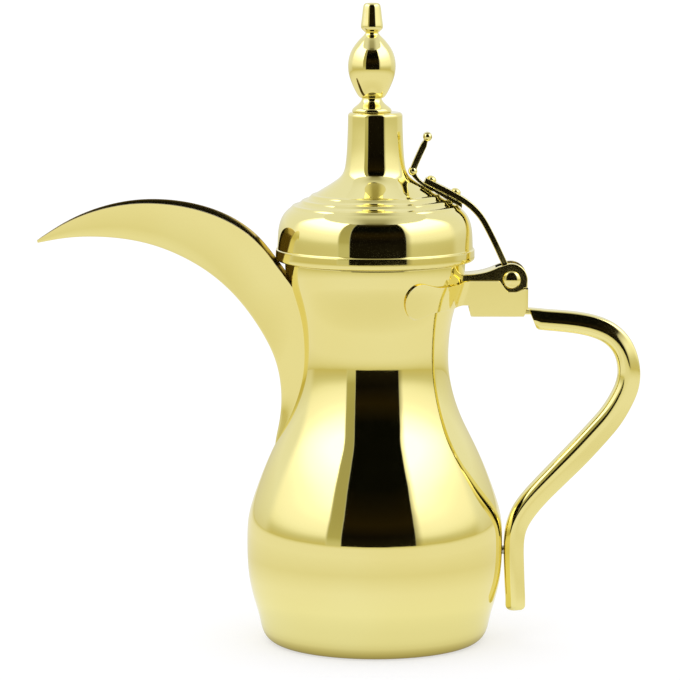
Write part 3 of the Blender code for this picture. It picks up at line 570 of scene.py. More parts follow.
RUBBED_GOLD = (0.93, 0.88, 0.62)


def polished_gold(name, rough, waviness, base=(0.93, 0.845, 0.375), deep=(0.90, 0.79, 0.30),
                  spread=0.05, turned_marks=0.0, wear=0.5):
    """Mirror-polished plate: slow tint change, faint wiping haze, hair-fine
    polishing marks, slight unevenness of the sheet and paler, rubbed edges."""
    material, graph, shader = new_material(name)
    position = graph.add("TexCoord").outputs["Object"]
    pointiness = graph.add("NewGeometry").outputs["Pointiness"]

    # tint, and edges rubbed in specks
    tint = graph.remap(graph.noise(position, scale=14.0, detail=2.0), source=(0.35, 0.65))
    deeper = tuple(0.55 * x + 0.45 * y for x, y in zip(base, deep))
    colour = graph.mix(tint, base, deeper)
    edge = graph.remap(pointiness, source=(0.53, 0.62), target=(0.0, wear))
    speck = graph.remap(graph.noise(position, scale=900.0, detail=4.0, roughness=0.6),
                        source=(0.42, 0.60), target=(0.3, 1.0))
    edge = graph.math('MULTIPLY', edge, speck)
    graph.feed(shader.inputs["Base Color"], graph.mix(edge, colour, RUBBED_GOLD))
    shader.inputs["Metallic"].default_value = 1.0

    # roughness from haze, marks and rubbed edges
    haze = graph.remap(graph.noise(position, scale=38.0, detail=5.0, roughness=0.62),
                       source=(0.45, 0.78), target=(0.0, spread))
    stretch = graph.add("Mapping", {"Vector": position, "Scale": (260.0, 260.0, 9000.0)})
    lines = graph.noise(stretch.outputs["Vector"], scale=1.0, detail=2.0)
    marks = graph.remap(lines, source=(0.56, 0.72), target=(0.0, 0.03 + 0.03 * turned_marks))
    total = graph.math('ADD', graph.math('ADD', haze, marks), rough)
    total = graph.math('ADD', total, graph.math('MULTIPLY', edge, 0.10))
    graph.feed(shader.inputs["Roughness"], total)

    # the sheet's own unevenness, then the polishing marks
    wave = graph.add("Bump", {
        "Strength": 1.0, "Distance": 0.00006 * waviness,
        "Height": graph.noise(position, scale=55.0, detail=2.0, roughness=0.45)})
    fine = graph.add("Bump", {
        "Strength": 0.10 + 0.25 * turned_marks, "Distance": 0.000004,
        "Height": lines, "Normal": wave.outputs["Normal"]})
    graph.feed(shader.inputs["Normal"], fine.outputs["Normal"])
    return material


LINE_DENSITY = 5200.0      # noise cells of the turned lines per metre


def satin_steel(name, base, rough):
    """Turned steel: rings of fine lines with a soft, uneven sheen."""
    material, graph, shader = new_material(name)
    position = graph.add("TexCoord").outputs["Object"]
    x, y, z = graph.add("SeparateXYZ", {"Vector": position}).outputs
    squares = graph.math('ADD', graph.math('MULTIPLY', x, x), graph.math('MULTIPLY', y, y))
    radius = graph.math('SQRT', squares)
    rings = graph.add("CombineXYZ", {"X": graph.math('MULTIPLY', radius, LINE_DENSITY),
                                     "Y": graph.math('MULTIPLY', z, LINE_DENSITY)})
    lines = graph.noise(rings.outputs["Vector"], scale=1.0, detail=3.0, roughness=0.6)
    blotches = graph.noise(position, scale=60.0, detail=4.0)
    darker = tuple(0.86 * c for c in base)
    colour = graph.mix(graph.remap(blotches, source=(0.35, 0.7)), base, darker)
    graph.feed(shader.inputs["Base Color"], colour)
    shader.inputs["Metallic"].default_value = 1.0
    line_rough = graph.remap(lines, source=(0.3, 0.7), target=(rough - 0.05, rough + 0.1),
                             ease=False)
    blotch_rough = graph.remap(blotches, source=(0.4, 0.8), target=(0.0, 0.08), ease=False)
    graph.feed(shader.inputs["Roughness"], graph.math('ADD', line_rough, blotch_rough))
    bump = graph.add("Bump", {"Strength": 0.4, "Distance": 0.00001, "Height": lines})
    graph.feed(shader.inputs["Normal"], bump.outputs["Normal"])
    return material


GOLD_POT = polished_gold("gold_pot", rough=0.030, waviness=0.8)
GOLD_LID = polished_gold("gold_lid", rough=0.030, waviness=0.5, turned_marks=0.5)
GOLD_FINIAL = polished_gold("gold_finial", rough=0.035, waviness=0.2, turned_marks=0.8)
GOLD_SPOUT = polished_gold("gold_spout", rough=0.05, waviness=1.2)
GOLD_FIT = polished_gold("gold_fittings", rough=0.055, waviness=0.7, wear=0.8)
GOLD_STRAP = polished_gold("gold_strap", rough=0.05, waviness=0.4, wear=0.9)
GOLD_RIVET = polished_gold("gold_rivet", rough=0.05, waviness=0.2)
# rougher inside of the spout; its dark base colour is painted shade in the trough
GOLD_TROUGH_PAINTED_SHADE = polished_gold("gold_trough_painted_shade", rough=0.16, waviness=1.2, spread=0.12,
                            base=(0.30, 0.23, 0.07), deep=(0.22, 0.16, 0.04))
STEEL_SATIN = satin_steel("steel_satin", base=(0.70, 0.66, 0.55), rough=0.22)
STEEL_PLAIN = satin_steel("steel_plain", base=(0.62, 0.60, 0.56), rough=0.3)


# ------------------------------------------------------------------------- pot
def build_body():
    """Shell with strainer holes behind the spout and the foot rivet's hole."""
    inner = simplify(shifted(BELLY_LINE, SHEET), 0.02)
    inner[0] = (BASE_LIP_R, SHEET)
    lip = SHEET / 2
    mouth = arc(BELLY[-1][0] - lip, MOUTH_Z - lip, lip, 0, 180, 8)
    inner_wall = [p for p in inner if p[1] < MOUTH_Z - 0.6]
    outer_wall = [p for p in BELLY_LINE if p[1] < MOUTH_Z - 0.6]
    body = make("body_skin", turned(outer_wall + mouth + inner_wall[::-1], 256), GOLD_POT)
    holes = []
    for row, z in enumerate(STRAINER_Z):
        for step in ((-1, 0, 1) if row % 2 == 0 else (-0.5, 0.5)):
            holes.append(rod((-60, step * STRAINER_PITCH, z), (1, 0, 0), STRAINER_R, 35, 24))
    holes.append(rod((FOOT_BORE_X, 0, FOOT_RIVET_Z), (1, 0, 0), 2.3, 25, 24))
    cut(body, holes)
    register(body, "pot", "body_shell")


def pot_solid(inset):
    """The pot's filled inside, for trimming what meets its wall."""
    line = simplify(shifted(BELLY_LINE, inset), 0.01)
    return turned([(0, line[0][1])] + line + [(line[-1][0], 186), (0, 186)], 256)


def spout_layers():
    """Parabolic trough; two middle layers give its free edges a rounded rim."""
    # (share of the wall, rise of the free edge) from the outside in
    depths = ((0, 0), (0.25, 0.22), (0.75, 0.22), (1, 0))
    layers = [[] for _ in depths]
    for top_x, top_z, keel_x, keel_z, half_width in SPOUT_LINE:
        dx, dz = top_x - keel_x, top_z - keel_z
        height = math.hypot(dx, dz)
        wall = min(SPOUT_T, 0.62 * half_width, 0.45 * height)
        for layer, (depth, rise) in zip(layers, depths):
            row = []
            for j in range(-SPOUT_COLS, SPOUT_COLS + 1):
                s = j / SPOUT_COLS
                slope = -2 * height * s
                length = math.hypot(slope, half_width)
                y = half_width * s + slope / length * wall * depth
                up = height * s * s + half_width / length * wall * depth
                if abs(j) == SPOUT_COLS:
                    up = height + wall * rise
                row.append((keel_x + dx / height * up, y, keel_z + dz / height * up))
            layer.append(row)
    return layers


def build_spout():
    spout = make("spout_skin", sheet_layers(spout_layers()), GOLD_SPOUT, sharp=40)
    cut(spout, [pot_solid(0.35)], sharp=40)
    # faces that look from the keel to the open top get a rougher gold whose much darker colour is
    # painted shade inside the trough
    spout.data.materials.append(GOLD_TROUGH_PAINTED_SHADE)
    spine = [((top_x + keel_x) / 2, (top_z + keel_z) / 2, top_x - keel_x, top_z - keel_z)
             for top_x, top_z, keel_x, keel_z, _ in SPOUT_LINE]
    for poly in spout.data.polygons:
        centre = poly.center / MM
        _, _, dx, dz = min(spine, key=lambda q: (q[0] - centre.x) ** 2 + (q[1] - centre.z) ** 2)
        if poly.normal.x * dx + poly.normal.z * dz > 0.02 * math.hypot(dx, dz):
            poly.material_index = 1
    register(spout, "pot", "spout")


def build_hinge_channel():
    """Channel behind the mouth whose two ears carry the pin."""
    outline = bspline([(37.0, 173.8), (41.0, 173.85), (46.0, 174.1), (51.0, 175.0),
                       (54.5, 176.2), (57.5, 177.6)], 8)
    outline += arc(PIN_X, PIN_Z, EAR_R, 112, 0, 40)
    outline += [(PIN_X + EAR_R, 168.2), (PIN_X + EAR_R - 0.4, 167.8), (69.5, 167.6),
                (CHANNEL_REAR_X, 167.2), (CHANNEL_REAR_X, 160.3), (38.0, 160.3)]
    channel = make("hinge_channel_skin", soft_prism(outline, CHANNEL_HALF, 0.45), GOLD_FIT)
    inner_x = CHANNEL_REAR_X - CHANNEL_WALL
    pocket = [(34.0, 172.3), (45.0, 172.5), (51.4, 173.4), (55.6, 174.9)]
    pocket += arc(PIN_X, PIN_Z, EAR_R - CHANNEL_WALL, 118, 0, 24)
    pocket += [(inner_x, 167.0), (inner_x, 158.0), (34.0, 158.0)]
    slot = [(56.2, 170.0), (56.2, 184.0), (75.0, 184.0), (75.0, 165.6), (66.0, 165.6)]
    for tool in (prism(pocket, CHANNEL_HALF - CHANNEL_WALL), prism(slot, SLOT_HALF),
                 pin_bore(0.06), pot_solid(0.2)):
        cut(channel, [tool])
    lean_in(channel, 165.0, CHANNEL_HALF)
    register(channel, "pot", "hinge_channel")


def build_hinge_pin():
    """Pin along Y with a domed head at each end."""
    head_y = CHANNEL_HALF + 0.05
    head = [(PIN_HEAD_R - 0.25, head_y), (PIN_HEAD_R, head_y + 0.22)]
    head += [(PIN_HEAD_R * math.cos(math.radians(a)),
              head_y + 0.3 + 1.65 * math.sin(math.radians(a))) for a in range(4, 90, 6)]
    head.append((0, head_y + PIN_HEAD_H))
    outline = [(r, -y) for r, y in head[::-1]] + [(PIN_R, -head_y), (PIN_R, head_y)] + head
    solid = placed(turned(outline, 64), (PIN_X, 0, PIN_Z), (0, 1, 0), (1, 0, 0))
    add_skin("hinge_pin", "pot", solid, GOLD_RIVET)


# --------------------------------------------------------------- handle bracket
# Pads on the neck fold out into two cheeks that a rear plate joins. Station s runs
# along the -Y half, from 0 at the pad's far end to 1 at the rear plate's middle;
# depth is the distance from the inner face.
def bracket_point(s, z, depth):
    """(x, y) of a station."""
    neck = pot_radius(z) + 0.02 + depth
    cheek = CHEEK_Y + depth + CHEEK_LEAN * (z - 164.0)
    fold = 5.0 - depth
    fold_y = cheek + fold
    fold_x = math.sqrt((neck + fold) ** 2 - fold_y ** 2)
    neck_end = math.asin(fold_y / (neck + fold))
    corner = 0.9 + depth
    rear_x = BRACKET_X - BRACKET_T + depth
    if s <= PAD_END:
        a = PAD_START + (neck_end - PAD_START) * (s / PAD_END)
        return neck * math.cos(a), -neck * math.sin(a)
    if s <= FOLD_END:
        start = math.pi / 2 + (math.pi / 2 - neck_end)
        a = start + (math.pi / 2 - start) * ((s - PAD_END) / FOLD_SPAN)
        return fold_x + fold * math.cos(a), -(fold_y - fold * math.sin(a))
    if s <= CHEEK_END:
        t = (s - FOLD_END) / CHEEK_SPAN
        return fold_x + (rear_x - corner - fold_x) * t, -cheek
    if s <= CORNER_END:
        a = math.pi / 2 * (s - CHEEK_END) / CORNER_SPAN
        return (rear_x - corner + corner * math.sin(a),
                -(cheek - corner + corner * math.cos(a)))
    t = (s - CORNER_END) / REAR_SPAN
    return rear_x, -(cheek - corner) * (1 - t)


def bracket_edges(s):
    """Lower and upper z at a station."""
    x, y = bracket_point(s, 163.0, 0.0)
    if s <= PAD_END:
        angle = math.degrees(math.atan2(-y, x))
        beyond = math.radians(angle - PAD_ANGLE) * NECK_R      # past the pad's centre
        half = PAD_R
        if beyond > -2.0:
            half = math.sqrt(max(PAD_R ** 2 - beyond ** 2, 0.02))
        k = smoothstep(8.0, -9.0, beyond)
        low = (PAD_Z - half) * (1 - k) + WING_LOW * k
        top = (PAD_Z + half * 0.92) * (1 - k) + WING_TOP * k
        return low, min(top, 173.2)
    if s <= FOLD_END:
        return (WING_LOW + (CHEEK_LOW - WING_LOW) * (s - PAD_END) / FOLD_SPAN,
                WING_TOP + 0.9 * (s - PAD_END) / FOLD_SPAN)
    if s <= CHEEK_END:
        low = CHEEK_LOW - (CHEEK_LOW - BRACKET_LOW) * smoothstep(0.575, 0.605, s)
        top = CHEEK_TOP - 5.2 * smoothstep(56.0, 62.2, x) + 1.3 * smoothstep(65.0, 69.6, x)
        return low, top
    if s <= CORNER_END:
        return BRACKET_LOW + 3.2 * smoothstep(CHEEK_END, 0.88, s), REAR_TOP
    return REAR_LOW, REAR_TOP


def bracket_grid(stations, depth, grow, tuck):
    """Grid of the whole bracket, its edges grown, its pad ends tucked in."""
    pull = tuck / NECK_R / (PAD_START - 0.25) * PAD_END
    half = []
    for station in stations:
        s = station + pull * max(0.0, 1 - station / PAD_END)
        low, top = bracket_edges(station)
        k = smoothstep(PAD_END, 0.25, station)
        low, top = low - grow + k * 0.7 * tuck, top + grow - k * 0.7 * tuck
        column = []
        for j in range(BRACKET_ROWS + 1):
            z = low + (top - low) * j / BRACKET_ROWS
            column.append((*bracket_point(s, z, depth), z))
        half.append(column)
    return half + [[(x, -y, z) for x, y, z in column] for column in half[-2::-1]]


def build_bracket():
    stations = [PAD_END * (1 - math.cos(math.pi / 2 * k / 30)) for k in range(31)]
    stations += [PAD_END + FOLD_SPAN * k / 14 for k in range(1, 15)]
    stations += [FOLD_END + CHEEK_SPAN * k / 60 for k in range(1, 61)]
    stations += [CHEEK_END + CORNER_SPAN * k / 10 for k in range(1, 11)] + [0.94, 0.97, 1.0]
    layers = [bracket_grid(stations, depth=0.0, grow=-0.12, tuck=0.05),
              bracket_grid(stations, depth=0.12, grow=0.0, tuck=0.0)]
    for k in range(7):
        t = 1 - k / 6
        layers.append(bracket_grid(stations, depth=BRACKET_T - PRESS_DROP * t ** 1.25,
                                   grow=-0.45 * t, tuck=PRESS_WIDTH * t))
    add_skin("handle_bracket", "pot", sheet_layers(layers), GOLD_FIT, sharp=50)


# ---------------------------------------------------------------------- handle
def rounded(width, height, power):
    """Superellipse with as many points as the bar's section."""
    ring = []
    for k in range(4 * BAR_QUARTER):
        a = 2 * math.pi * (k + 0.5) / (4 * BAR_QUARTER)
        c, s = math.cos(a), math.sin(a)
        q = (abs(c) ** power + abs(s) ** power) ** (-1 / power)
        ring.append((width / 2 * c * q, height / 2 * s * q))
    return ring


def bar_ring(width, thickness):
    """The bar's section in evenly spaced points."""
    want = 2 * BAR_QUARTER
    line = bspline(BAR_SIDE, want // (len(BAR_SIDE) - 1))
    lengths = [0.0]
    for a, b in zip(line, line[1:]):
        lengths.append(lengths[-1] + math.hypot((b[0] - a[0]) * width,
                                                (b[1] - a[1]) * thickness))
    side = []
    for k in range(want):
        q = lengths[-1] * (k + 0.5) / want
        i = max(j for j in range(len(lengths) - 1) if lengths[j] <= q)
        u = (q - lengths[i]) / (lengths[i + 1] - lengths[i])
        side.append(((line[i][0] * (1 - u) + line[i + 1][0] * u) * width,
                     (line[i][1] * (1 - u) + line[i + 1][1] * u) * thickness))
    mirrored = [(-y, h) for y, h in side[::-1]]
    ring = (side + mirrored)[::-1]                 # in step with rounded()
    first = min(range(len(ring)), key=lambda k: abs(math.atan2(ring[k][1], ring[k][0]) - 0.03)
                if ring[k][0] > 0 else 9)
    return ring[first:] + ring[:first]


def handle_sections():
    line = bspline(HANDLE, 9)
    sections = []
    tang_z = (TANG_Z[0] + TANG_Z[1]) / 2
    tang_height = TANG_Z[1] - TANG_Z[0]
    for x, width, slope in TANG:
        sections.append([(x - slope * (z + tang_z - 154.6), y, tang_z + z)
                         for y, z in rounded(width, tang_height, 8)])
    x, z, thickness = line[0]
    for shrink, back in ((0.90, -0.02), (0.97, 0.12), (1.0, 0.5)):   # eased bevelled end
        ring = []
        for y, h in bar_ring(HANDLE_W * shrink, thickness * shrink):
            bar_z = z + 0.3 + h
            ring.append((73.85 + back - 0.42 * (bar_z - 152.2), y, bar_z))
        sections.append(ring)
    for (x, z, thickness), (nx, nz) in list(zip(line, normals_of(line)))[2:]:
        sections.append([(x + nx * h, y, z + nz * h)
                         for y, h in bar_ring(HANDLE_W, thickness)])
    x, z, thickness = line[-1]
    for k in range(13):                            # rounded foot
        a = math.pi / 2 * k / 12
        inset = HANDLE_END_R * (1 - math.cos(a))
        foot_z = HANDLE_END_Z + HANDLE_END_R * (1 - math.sin(a))
        sections.append([(x + h * (thickness - 2 * inset) / thickness,
                          y * (HANDLE_W - 2 * inset) / HANDLE_W, foot_z)
                         for y, h in bar_ring(HANDLE_W, thickness)])
    return sections


def build_foot_rivet():
    """Rivet along X, its domed head inside the pot."""
    inner_x = pot_radius(FOOT_RIVET_Z) - SHEET - 0.1
    length = 65.5 - inner_x
    dome = [(3.8 * math.cos(math.radians(a)), -1.6 * math.sin(math.radians(a)))
            for a in range(0, 90, 10)]
    outline = [(0, -1.6)] + dome[::-1] + [(2.0, 0.0), (2.0, length), (0, length)]
    solid = placed(turned(outline, 48), (inner_x, 0, FOOT_RIVET_Z), (1, 0, 0), (0, 1, 0))
    add_skin("handle_foot_rivet", "pot", solid, STEEL_PLAIN)


# ------------------------------------------------------------------------- lid
def off_centre(solid):
    verts, faces = solid
    return [(x + FINIAL_X, y, z) for x, y, z in verts], faces


def finial_bore(z, radius, length, segments):
    return rod((FINIAL_X, 0, z), (0, 0, 1), radius, length, segments, (1, 0, 0))


def lid_outer():
    line = []
    for r, z in bspline(LID_SIDE, 22):
        lift = 0.0
        if z > LID_TOP_START_Z:
            lift = sum(RING_HEIGHT * math.exp(-((r - c) / RING_WIDTH) ** 2) for c in LID_RINGS)
        line.append((r + 0.5 * lift, z + 0.86 * lift))
    rim = [(44.2, 180.1), (45.0, 180.1)]
    rim += arc(45.0, 181.55, 1.45, -88, -8, 14)
    rim += [(46.46, 182.3), (46.45, 183.5), (46.42, 184.6)]
    rim += arc(46.1, 185.15, 0.32, 5, 80, 5) + [(45.86, 185.56), (45.76, 185.68), (45.71, 185.85)]
    top = arc(TOWER_R - TOWER_EDGE_R, TOWER_TOP_Z - TOWER_EDGE_R, TOWER_EDGE_R, 3, 90, 12)
    return rim + line[1:] + top + [(9.0, TOWER_TOP_Z), (0.0, TOWER_TOP_Z)]


def build_lid_shell():
    """The shell; the rivets drill it later, before it is registered."""
    under = TOWER_TOP_Z - SHEET
    inner = [(44.2, 181.1), (44.9, 181.2), (45.1, 181.8)]
    inner += simplify(shifted(LID_LINE, SHEET), 0.02)
    inner = [p for p in inner if p[1] < 246.5]
    inner += [(TOWER_R - SHEET, under - 1.4), (10.4, under), (0.0, under)]
    shell = make("lid_skin", turned(lid_outer() + inner[::-1], 224), GOLD_LID)
    cut(shell, [finial_bore(240, STUD_BORE_R, 14, 48)])
    return shell


def build_lid_liner():
    r = LINER_R
    outline = [(r - 0.6, 174.7), (r - 0.45, 174.95), (r, 179.6), (r + 0.4, 180.0),
               (43.8, 180.0), (43.8, 181.5), (44.8, 181.5), (44.8, 182.3), (43.0, 182.3),
               (43.0, 180.8), (r, 180.8), (r - 0.8, 180.2), (r - 1.25, 174.95),
               (r - 1.1, 174.7)]
    add_skin("lid_liner", "lid", turned(outline, 192), STEEL_SATIN)


def build_finial():
    for node, start, curve, end in FINIAL:
        solid = turned(start + bspline(curve, 8) + end, 96)
        add_skin(node, "lid", off_centre(solid), GOLD_FINIAL)


def build_stud():
    """Threaded stud with a washer and a hexagon nut under the tower's top."""
    outline = [(0, STUD_LOW_Z), (STUD_ROOT_R, STUD_LOW_Z)]
    for turn in range(10):
        z = STUD_LOW_Z + THREAD_PITCH * turn
        outline += [(STUD_R, z + THREAD_PITCH / 2), (STUD_ROOT_R, z + THREAD_PITCH)]
    outline += [(STUD_R, 248.6), (STUD_R, 291.9), (0, 291.9)]
    add_skin("finial_stud", "lid", off_centre(turned(outline, 32)), STEEL_PLAIN)

    under = TOWER_TOP_Z - SHEET - 0.05
    washer = [(STUD_BORE_R, under - 0.8), (5.0, under - 0.8), (5.2, under - 0.6),
              (5.2, under - 0.15), (5.05, under), (STUD_BORE_R, under)]
    add_skin("stud_washer", "lid", off_centre(turned(washer, 64)), STEEL_PLAIN)

    nut_top = under - 0.85
    hexagon = []
    for k in range(6):
        start, end = math.radians(60 * k + 30), math.radians(60 * k + 90)
        for t in (0.06, 0.5, 0.94):
            hexagon.append((4.0 * (math.cos(start) * (1 - t) + math.cos(end) * t),
                            4.0 * (math.sin(start) * (1 - t) + math.sin(end) * t)))
    rings = [[(x * size, y * size, nut_top - drop) for x, y in hexagon]
             for drop, size in ((3.0, 0.90), (2.6, 1.0), (0.4, 1.0), (0.0, 0.90))]
    nut = make("stud_nut_skin", off_centre(loft(rings)), STEEL_PLAIN)
    cut(nut, [finial_bore(nut_top - 4, 1.85, 6, 32)])
    register(nut, "lid", "stud_nut")


def build_strap():
    """Hinge strap, with its barrel eye round the pin."""
    top = bspline(STRAP_EDGE, 8)

    def trim(line):
        while math.hypot(line[-1][0] - PIN_X, line[-1][1] - PIN_Z) < EYE_R - 0.2:
            line.pop()

    trim(top)
    bottom = shifted(top, -STRAP_T)
    trim(bottom)
    eye = arc(PIN_X, PIN_Z, EYE_R, bearing_of(top[-1], PIN_X, PIN_Z) - 5,
              bearing_of(bottom[-1], PIN_X, PIN_Z) - 360 + 5, 60)
    solid = soft_prism(top + eye + bottom[::-1], STRAP_HALF, 0.28)
    strap = make("hinge_strap_skin", solid, GOLD_STRAP, sharp=35)
    cut(strap, [pin_bore(0.08)], sharp=35)
    return strap


def capsule(x, z, radius, half):
    """Bar along Y with domed ends."""
    line = [(0, -half)]
    for degrees in range(10, 91, 10):
        a = math.radians(degrees)
        line.append((radius * math.sin(a), -half + radius * 0.8 * (1 - math.cos(a))))
    line += [(r, -y) for r, y in line[::-1]]
    return placed(turned(line, 40), (x, 0, z), (0, 1, 0), (1, 0, 0))


def build_lever():
    """Thumb lever: a toe between strap and lid, then a rising shaft with a roll."""
    strap_under = shifted(STRAP_LINE, -STRAP_T - 0.06)
    spout_side, strap_side = [], []
    for k in range(25):
        x = LEVER_TOE_X + (LEVER_BEND_X - LEVER_TOE_X) * k / 24
        top = lookup(strap_under, x, 0, 1)
        low = lid_height(x) + 0.1 + 0.55 * smoothstep(25.5, 27.5, x)
        spout_side.append((x, low))
        strap_side.append((x, top))
    toe_end = (x, (top + low) / 2, (top - low) / 2 * 0.86)
    path = bspline([toe_end] + LEVER_SHAFT, 10)[1:]
    for (x, z, half), (nx, nz) in zip(path, normals_of(path)):
        spout_side.append((x + nx * half, z + nz * half))
        strap_side.append((x - nx * half, z - nz * half))
    roll_x, roll_z, roll_r = LEVER_ROLL
    start = bearing_of(spout_side[-1], roll_x, roll_z)
    end = bearing_of(strap_side[-1], roll_x, roll_z)
    if start < end:
        start += 360
    roll = arc(roll_x, roll_z, roll_r, start - 8, end + 8, 40)
    solid = soft_prism(spout_side + roll + strap_side[::-1], LEVER_HALF, 0.22)
    lever = make("thumb_lever_skin", solid, GOLD_STRAP, sharp=35)
    bead_x, bead_z, bead_r = LEVER_BEAD
    for bar in (capsule(roll_x, roll_z, roll_r + 0.1, LEVER_HALF + 0.7),
                capsule(bead_x, bead_z, bead_r, LEVER_HALF + 0.6)):
        cut(lever, [bar], 'UNION', sharp=35)
    return lever


def build_strap_rivet(label, x, targets):
    """Rivet square to the strap, drilled through the targets, with its burr inside."""
    z = lookup(STRAP_LINE, x, 0, 1)
    z_next = lookup(STRAP_LINE, x + 0.5, 0, 1)
    base = Vector((x, 0, z))
    normal = Vector((z - z_next, 0, 0.5)).normalized()
    bore = rod(base + normal * 5, -normal, RIVET_BORE_R, 24, 32)
    for target in targets:
        cut(target, [bore], sharp=35)

    depth = 0.0
    while True:                                    # down to the lid's inner face
        point = base - normal * depth
        if point.z < lid_height(point.x) - SHEET / normal.z - 0.35:
            break
        depth += 0.05
    burr = [(RIVET_BORE_R, -depth - BURR_T), (2.7, -depth - BURR_T),
            (2.9, -depth - BURR_T + 0.2), (2.9, -depth - 0.1), (2.8, -depth),
            (RIVET_BORE_R, -depth)]
    add_skin("rivet_burr_" + label, "lid",
             placed(turned(burr, 40), base, normal, (0, 1, 0)), STEEL_PLAIN)

    tail = -depth - BURR_T - 0.05
    rivet = [(0, tail - 1.2), (1.0, tail - 1.13), (1.7, tail - 0.85), (2.1, tail - 0.4),
             (2.2, tail), (RIVET_R, tail), (RIVET_R, 0.02), (RIVET_HEAD_R - 0.15, 0.02),
             (RIVET_HEAD_R, 0.2)]
    rivet += [(RIVET_HEAD_R * math.cos(math.radians(a)), 0.25 + 1.7 * math.sin(math.radians(a)))
              for a in range(5, 90, 8)] + [(0, 1.95)]
    add_skin("strap_rivet_" + label, "lid",
             placed(turned(rivet, 56), base, normal, (0, 1, 0)), GOLD_RIVET)


def build_pot():
    build_body()
    add_skin("base_disc", "pot", turned(BASE_DISC, 160), STEEL_SATIN)
    build_spout()
    build_hinge_channel()
    build_hinge_pin()
    build_bracket()
    add_skin("handle", "pot", loft(handle_sections()), GOLD_FIT, sharp=40)
    build_foot_rivet()


def build_lid():
    shell = build_lid_shell()
    build_lid_liner()
    build_finial()
    build_stud()
    strap = build_strap()
    lever = build_lever()
    for label, x in zip(("front", "rear"), RIVET_X):
        build_strap_rivet(label, x, (strap, lever, shell))
    lean_in(strap, 172.0, STRAP_HALF, top_z=197.0)
    register(strap, "lid", "hinge_strap")
    register(lever, "lid", "thumb_lever")
    register(shell, "lid", "lid_shell")


# ----------------------------------------------------------------------- stage
# Metres from here on. Tones are (position, colour).
STUDIO_R = 1.62
STUDIO_TOP = 2.45
STUDIO_SIDES = 180
FLOOR_HALF = 7.0
# Painted light on the floor as reflections see it, by distance from the pot's axis: a painted
# contact shadow at the base, painted shade round the pot and painted dimming far away
FLOOR_PAINTED_LIGHT = [(0.0, (0.10, 0.08, 0.03)), (0.048, (0.13, 0.10, 0.04)),
              (0.052, (0.52, 0.48, 0.30)), (0.057, (0.72, 0.70, 0.58)),
              (0.067, (0.83, 0.83, 0.76)), (0.084, (0.91, 0.91, 0.86)),
              (0.13, (0.90, 0.89, 0.85)), (0.22, (0.80, 0.77, 0.64)),
              (0.35, (0.87, 0.85, 0.78)), (0.70, (0.86, 0.84, 0.77)),
              (1.10, (0.76, 0.73, 0.56)), (1.65, (0.61, 0.56, 0.29))]
# Walls, by height
BEHIND_TONE = [(0.0, (0.70, 0.67, 0.52)), (0.15, (0.76, 0.75, 0.66)),
               (0.40, (0.86, 0.87, 0.88)), (2.5, (0.86, 0.88, 0.98))]
PANEL_TONE = [(0.0, (0.61, 0.55, 0.28)), (0.10, (0.62, 0.58, 0.37)),
              (0.17, (0.68, 0.66, 0.48)), (0.24, (0.82, 0.80, 0.68)),
              (0.30, (0.93, 0.92, 0.84)), (0.40, (1.02, 1.01, 0.98)),
              (0.58, (1.10, 1.09, 1.09)), (0.76, (1.28, 1.27, 1.30)),
              (0.95, (1.75, 1.75, 1.80)), (1.30, (2.40, 2.40, 2.45)),
              (2.5, (2.60, 2.60, 2.70))]
STRIP_TONE = [(0.0, (0.62, 0.59, 0.40)), (0.12, (0.56, 0.54, 0.33)),
              (0.28, (0.44, 0.41, 0.20)), (0.8, (0.40, 0.37, 0.18)),
              (2.5, (0.36, 0.34, 0.22))]
GAP_TONE = [(0.0, (0.010, 0.008, 0.004)), (0.35, (0.004, 0.003, 0.002)),
            (0.70, (0.014, 0.009, 0.002)), (1.1, (0.002, 0.002, 0.001)),
            (1.7, (0.002, 0.002, 0.001)), (2.5, (0.030, 0.022, 0.006))]
PANEL_EDGE_TONE = (0.25, 0.22, 0.12)
# Ceiling, by the direction's Y: dim towards the camera, bright behind the pot
CEILING_TONE = [(-0.50, (0.16, 0.15, 0.10)), (-0.42, (0.34, 0.32, 0.24)),
                (-0.15, (0.42, 0.41, 0.34)), (0.10, (0.66, 0.66, 0.60)),
                (0.35, (0.88, 0.90, 1.00)), (1.0, (0.90, 0.93, 1.10))]
CEILING_SIDE_TONE = (0.80, 0.81, 0.84)


def plain_mesh(name, verts, faces, material):
    mesh = bpy.data.meshes.new(name)
    mesh.from_pydata(verts, [], faces)
    mesh.materials.append(material)
    return link_object(name, mesh)


def build_floor():
    """Pale floor that shows its own toned glow in reflections: painted light, with a painted
    contact shadow round the pot.
    """
    material, graph, output = new_surface("floor_pale")
    position = graph.add("TexCoord").outputs["Object"]
    diffuse = graph.add("BsdfDiffuse", {"Color": (0.955, 0.955, 0.975)})
    distance = graph.add("VectorMath", {0: position}, operation='LENGTH').outputs["Value"]
    # in reflections the floor emits painted light: a painted contact shadow at the pot's base,
    # painted shade round it and painted dimming far away
    glow = graph.add("Emission", {"Color": graph.ramp(distance, FLOOR_PAINTED_LIGHT)})
    # keeps the contact shadow pale
    lift = graph.add("Emission", {"Color": (1.0, 1.0, 1.03), "Strength": 1.05})
    pale = graph.mix_shader(0.5, diffuse.outputs["BSDF"], lift.outputs["Emission"])
    glossy = graph.add("LightPath").outputs["Is Glossy Ray"]
    graph.feed(output.inputs["Surface"],
               graph.mix_shader(glossy, pale, glow.outputs["Emission"]))
    h = FLOOR_HALF
    return plain_mesh("floor", [(-h, -h, 0), (h, -h, 0), (h, h, 0), (-h, h, 0)],
                      [(0, 1, 2, 3)], material)


